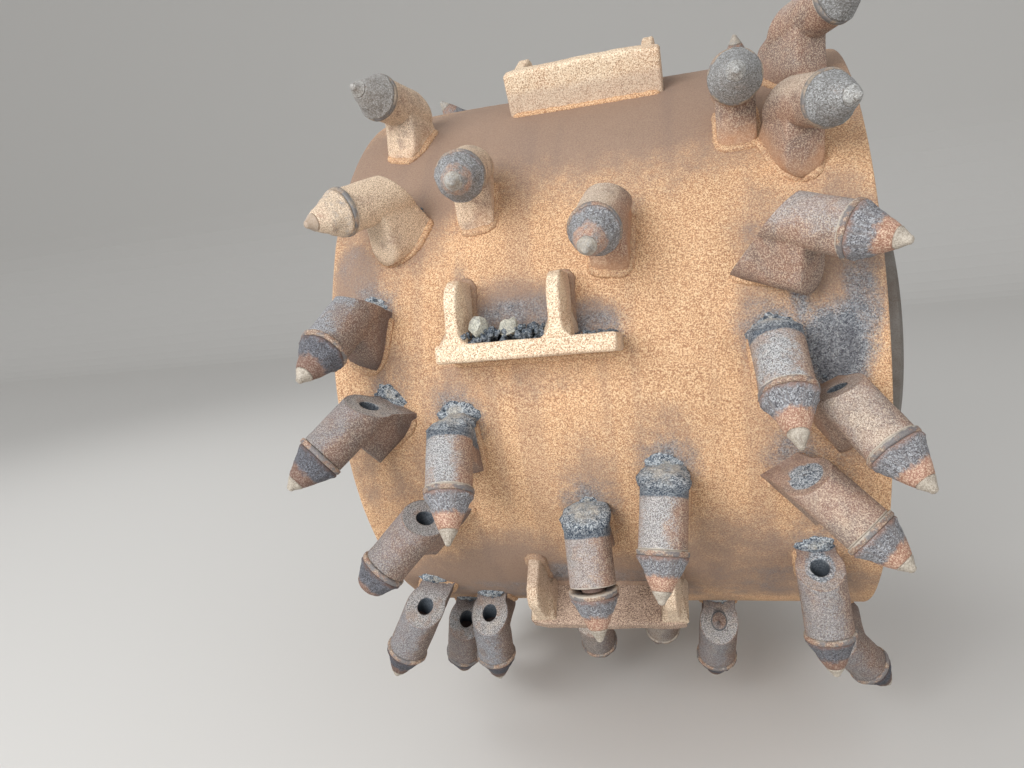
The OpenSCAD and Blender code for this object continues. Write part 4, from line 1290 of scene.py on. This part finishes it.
# The plate's outer edge pushed in by wear that grows from nothing at wearFrom of its height.
def wornPlate(points, seed, cfg):
    x, out = points[..., 0], -points[..., 1] - drum["shellR"]
    half = cfg["length"] / 2
    endWear = cfg["endWear"] * smooth(half - cfg["endLen"], half, np.abs(x))
    along = np.stack([x, np.full_like(x, seed), np.zeros_like(x)], -1)
    wavy = cfg["wavyWear"] * noise3(along, cfg["wavyCell"], cfg["wavySeed"])
    share = smooth(cfg["wearFrom"] * cfg["height"], cfg["height"], out)
    points[..., 1] += share * (endWear + cfg["wornEdge"] + wavy)
    return points


# A gusset that widens towards the plate, by the square of what is left of the flare's length.
def flaredGusset(points, cfg):
    plateBack = cfg["thick"] / 2 + cfg["crust"]
    near = np.clip(1 - (points[..., 2] - plateBack) / cfg["flare"], 0, 1) ** 2
    points[..., 0] += np.sign(points[..., 0]) * cfg["flareShare"] * cfg["flare"] * near
    return points


# Beads on the shell: along the plate's front, between the gussets at its back, and round each gusset.
def addPaddleBeads(store, row, n, cfg):
    half, g = cfg["thick"] / 2, cfg["gussetThick"] / 2
    reach = cfg["length"] / 2 - cfg["endGap"]
    gussets = [x / 1000 for x in row.gussets]

    def add(xs, backs, kind):
        radius, seed, dust = cfg[kind]
        xs, backs = np.broadcast_arrays(xs, backs)
        path = np.stack([xs, -np.sqrt(drum["shellR"] ** 2 - backs ** 2), backs], -1)
        addBead(store, onPaddle(path, row), radius, seed + n, loop=False, dust=dust)

    add(np.linspace(-reach, reach, cfg["frontSteps"]), -half - cfg["beadGap"], "frontBead")
    stops = [-reach, *(x + side for x in gussets for side in (-g, g)), reach]
    for start, end in zip(stops[::2], stops[1::2]):
        add(np.linspace(start, end, cfg["backSteps"]), half + cfg["beadGap"], "backBead")
    r, end = g + cfg["sideGap"], half + cfg["gussetLen"] + cfg["bowGap"]
    bow = np.linspace(0, np.pi, cfg["bowSteps"])
    for x in gussets:
        xs = np.concatenate([[x - r], x - r * np.cos(bow), [x + r]])
        add(xs, np.concatenate([[half], end - r + r * np.sin(bow), [half]]), "gussetBead")


def makePaddles(cfg):
    plates, gussets, beads = newStore(), newStore(), newStore()
    r, half, back = drum["shellR"], cfg["thick"] / 2, cfg["thick"] / 2 + cfg["gussetLen"]
    # outlines in Y and Z: -Y is away from the shell, +Z the trailing side
    top, bottom, crusted = -(r + cfg["height"]), -(r - cfg["root"]), half + cfg["crust"]
    plateLine = roundedOutline([(bottom, crusted), (top, crusted), (top, -half), (bottom, -half)],
                               cfg["plateRadii"])
    low, front = -(r + cfg["gussetHeight"]), half - cfg["rootInset"]
    sharp, heel = cfg["gussetRadii"]
    gussetLine = roundedOutline([(bottom, front), (bottom, back), (low, back), (low, front)],
                                [sharp, heel, cfg["gussetHeight"] / 2, sharp])
    plateXs = np.linspace(-cfg["length"] / 2, cfg["length"] / 2, cfg["plateRows"])
    gussetXs = np.linspace(-cfg["gussetThick"] / 2, cfg["gussetThick"] / 2, cfg["gussetRows"])
    for n, row in enumerate(paddleRows):
        addPlate(plates, plateLine, plateXs, cfg["plateEdge"], row, 0, cfg["plateSeed"] + n,
                 lambda points: wornPlate(points, n, cfg), row.dust)
        for x in row.gussets:
            addPlate(gussets, gussetLine, gussetXs, cfg["gussetEdge"], row, x / 1000, cfg["gussetSeed"] + n,
                     lambda points: flaredGusset(points, cfg), row.dust * cfg["gussetDust"])
        addPaddleBeads(beads, row, n, cfg)
    finishPiece("paddlePlates", plates, finishes["paddle"], ["paddle_plates"])
    finishPiece("paddleGussets", gussets, finishes["paddle"], ["paddle_gussets"])
    finishPiece("paddleWelds", beads, finishes["shell"])


makePaddles(paddle)

# caked dirt and crumbs
mounds = dict(
    height=0.0095, rear=0.0130, side=0.0195, front=0.014, sunk=0.0012, rows=12, columns=48,
    middle=0.05, power=2.2, reachPower=0.5, sidePower=0.4, crown=(0.45, 0.55), crownPower=3, walkShift=3.7,
    edges=((0.22, 1.3, 51), (0.16, 3.1, 54), (0.12, 6.5, 50)), lumps=((0.45, 0.010, 52), (0.3, 0.0042, 53)),
    # how much lies behind some holders, by their x and angle, and by the row's dirt behind the others
    amounts={(226, -21): 0.12, (234, -11): 0.12, (228, 14.5): 0.12, (48, -26.5): 0.6, (-6, -33.5): 0.25,
             (151, -5): 0.7, (-211, 5): 0.4},
    amountLeast=0.25, amountMore=0.8, crumbsEach=9, crumbSize=(0.002, 0.0045),
)
heap = dict(
    height=0.0062, half=0.0212, long=0.0250, shift=-0.003, middle=0.06, power=2.6, walkShift=5.3,
    overhang=((0.97, -0.45), (0.86, -0.6)),  # rho and share of the height, under the edge
    edges=((0.10, 1.4, 57), (0.10, 4.0, 58)), lumps=((0.35, 0.010, 55), (0.25, 0.0042, 56)),
    crown=(1.15, 1.1, 0.3),
)
# crumbs in the pocket of the paddle that faces forwards: how many, their size, x, height over the
# shell and depth behind the plate
pocket = dict(
    paddle=1, seed=5, halfSize=0.35,
    fills=((270, (0.003, 0.0068), (-0.049, 0.019), (0.003, 0.034), 0.011),
           (70, (0.0022, 0.0045), (0.033, 0.068), (0.003, 0.03), 0.003)),
    # the two pale stones: x, height over the shell, place behind the plate, size
    stones=((-0.037, 0.027, 0.015, 0.0195), (-0.013, 0.024, 0.013, 0.0185)),
)


# 1 plus noise walked round a circle, for the edge of a heap: each noise has its amount, how
# finely it is walked and its seed.
def raggedEdge(turn, start, edges):
    walk = np.stack([np.cos(turn), np.sin(turn), np.full_like(turn, start)], -1)
    return 1 + sum(amount * noise3(walk * fine, 1.0, seed) for amount, fine, seed in edges)


# A heap on a holder's rear face: an oval dome in the face's plane, 1 less a power of rho high,
# that overhangs the face's edge and turns in under it.
def addHeap(store, row, seed, cfg):
    slope = np.radians(holder["slope"])
    uphill = np.array([0, np.cos(slope), np.sin(slope)])
    normal = np.array([0, np.sin(slope), -np.cos(slope)])
    turn = np.linspace(0, 2 * np.pi, mounds["columns"], endpoint=False)
    ragged = raggedEdge(turn, seed * cfg["walkShift"], cfg["edges"])
    dome, under = np.linspace(cfg["middle"], 1, mounds["rows"]), np.array(cfg["overhang"])
    rho = np.concatenate([dome, under[:, 0]])[:, None]
    height = cfg["height"] * np.concatenate([1 - dome ** cfg["power"], under[:, 1]])
    across = rho * cfg["half"] * np.cos(turn) * ragged
    along = rho * cfg["long"] * np.sin(turn) * ragged + cfg["shift"]
    middle = np.array([0, 0, -holder["head"] - holder["length"]])
    flat = middle + across[..., None] * np.array([1.0, 0, 0]) + along[..., None] * uphill
    lump = 1 + layeredNoise(flat + seed, cfg["lumps"])
    points = flat + (height[:, None] * lump)[..., None] * normal
    most, fall, lean = cfg["crown"]
    crown = np.clip(most - fall * rho ** 2 - lean * np.sin(turn) * rho, 0, 1)
    addGrid(store, onPick(points, row)[::-1], caps=True, flip=True, crown=crown[::-1])


# A mound on the shell behind a sleeve: an oval with a ragged edge, 1 less a power of rho high.
def addMound(store, row, n, amount, cfg):
    base, rearward, sideways = rearFoot(row)
    rho = np.linspace(cfg["middle"], 1, cfg["rows"])[:, None]
    turn = np.linspace(0, 2 * np.pi, cfg["columns"], endpoint=False)
    ragged = raggedEdge(turn, n * cfg["walkShift"], cfg["edges"])
    reach = np.where(np.cos(turn) > 0, cfg["rear"], cfg["front"]) * amount ** cfg["reachPower"]
    along = rho * reach * np.cos(turn) * ragged
    across = rho * cfg["side"] * amount ** cfg["sidePower"] * np.sin(turn) * ragged
    points = base + along[..., None] * rearward + across[..., None] * sideways
    height = cfg["height"] * amount * (1 - rho ** cfg["power"]) * (1 + layeredNoise(points, cfg["lumps"]))
    points = scaleRadius(points, (drum["shellR"] - cfg["sunk"] + height) / radiusOf(points))
    least, lean = cfg["crown"]
    crown = (1 - rho[::-1] ** cfg["crownPower"]) * (least + lean * np.cos(turn)[None])
    addGrid(store, points[::-1], caps=True, flip=True, crown=crown)
    return points


def makeMounds(cfg):
    store, crumbs, pebbles = newStore(), newStore(), newStore()
    rng = np.random.default_rng(pocket["seed"])
    for n, row in enumerate(allRows):
        amount = cfg["amounts"].get((row.x, row.angle), cfg["amountLeast"] + cfg["amountMore"] * row.dirt)
        points = addMound(store, row, n, amount, cfg)
        if row.dirt >= holderDirt["buriedFrom"]:
            addHeap(store, row, n, heap)
        for k in range(int(cfg["crumbsEach"] * amount)):
            i, j = rng.integers(1, cfg["rows"] - 1), rng.integers(0, cfg["columns"])
            addCrumb(crumbs, points[i, j], rng.uniform(*cfg["crumbSize"]), rng)
    row, plateBack = paddleRows[pocket["paddle"]], paddle["thick"] / 2
    for count, sizes, xs, outs, depth in pocket["fills"]:
        for k in range(count):
            size, x, out = rng.uniform(*sizes), rng.uniform(*xs), rng.uniform(*outs)
            back = plateBack + size * pocket["halfSize"] + depth * rng.uniform(0, 1)
            place = np.array([x, -drum["shellR"] - out, back])
            addCrumb(crumbs, onPaddle(place, row), size, rng)
    for x, out, back, size in pocket["stones"]:
        addCrumb(pebbles, onPaddle(np.array([x, -drum["shellR"] - out, plateBack + back]), row), size, rng)
    finishPiece("cakedDirt", store, finishes["dirt"])
    finishPiece("asphaltCrumbs", crumbs, finishes["dirt"], smoothFaces=False)
    finishPiece("pebbles", pebbles, finishes["pebble"], smoothFaces=False)


makeMounds(mounds)

print("pieces made")
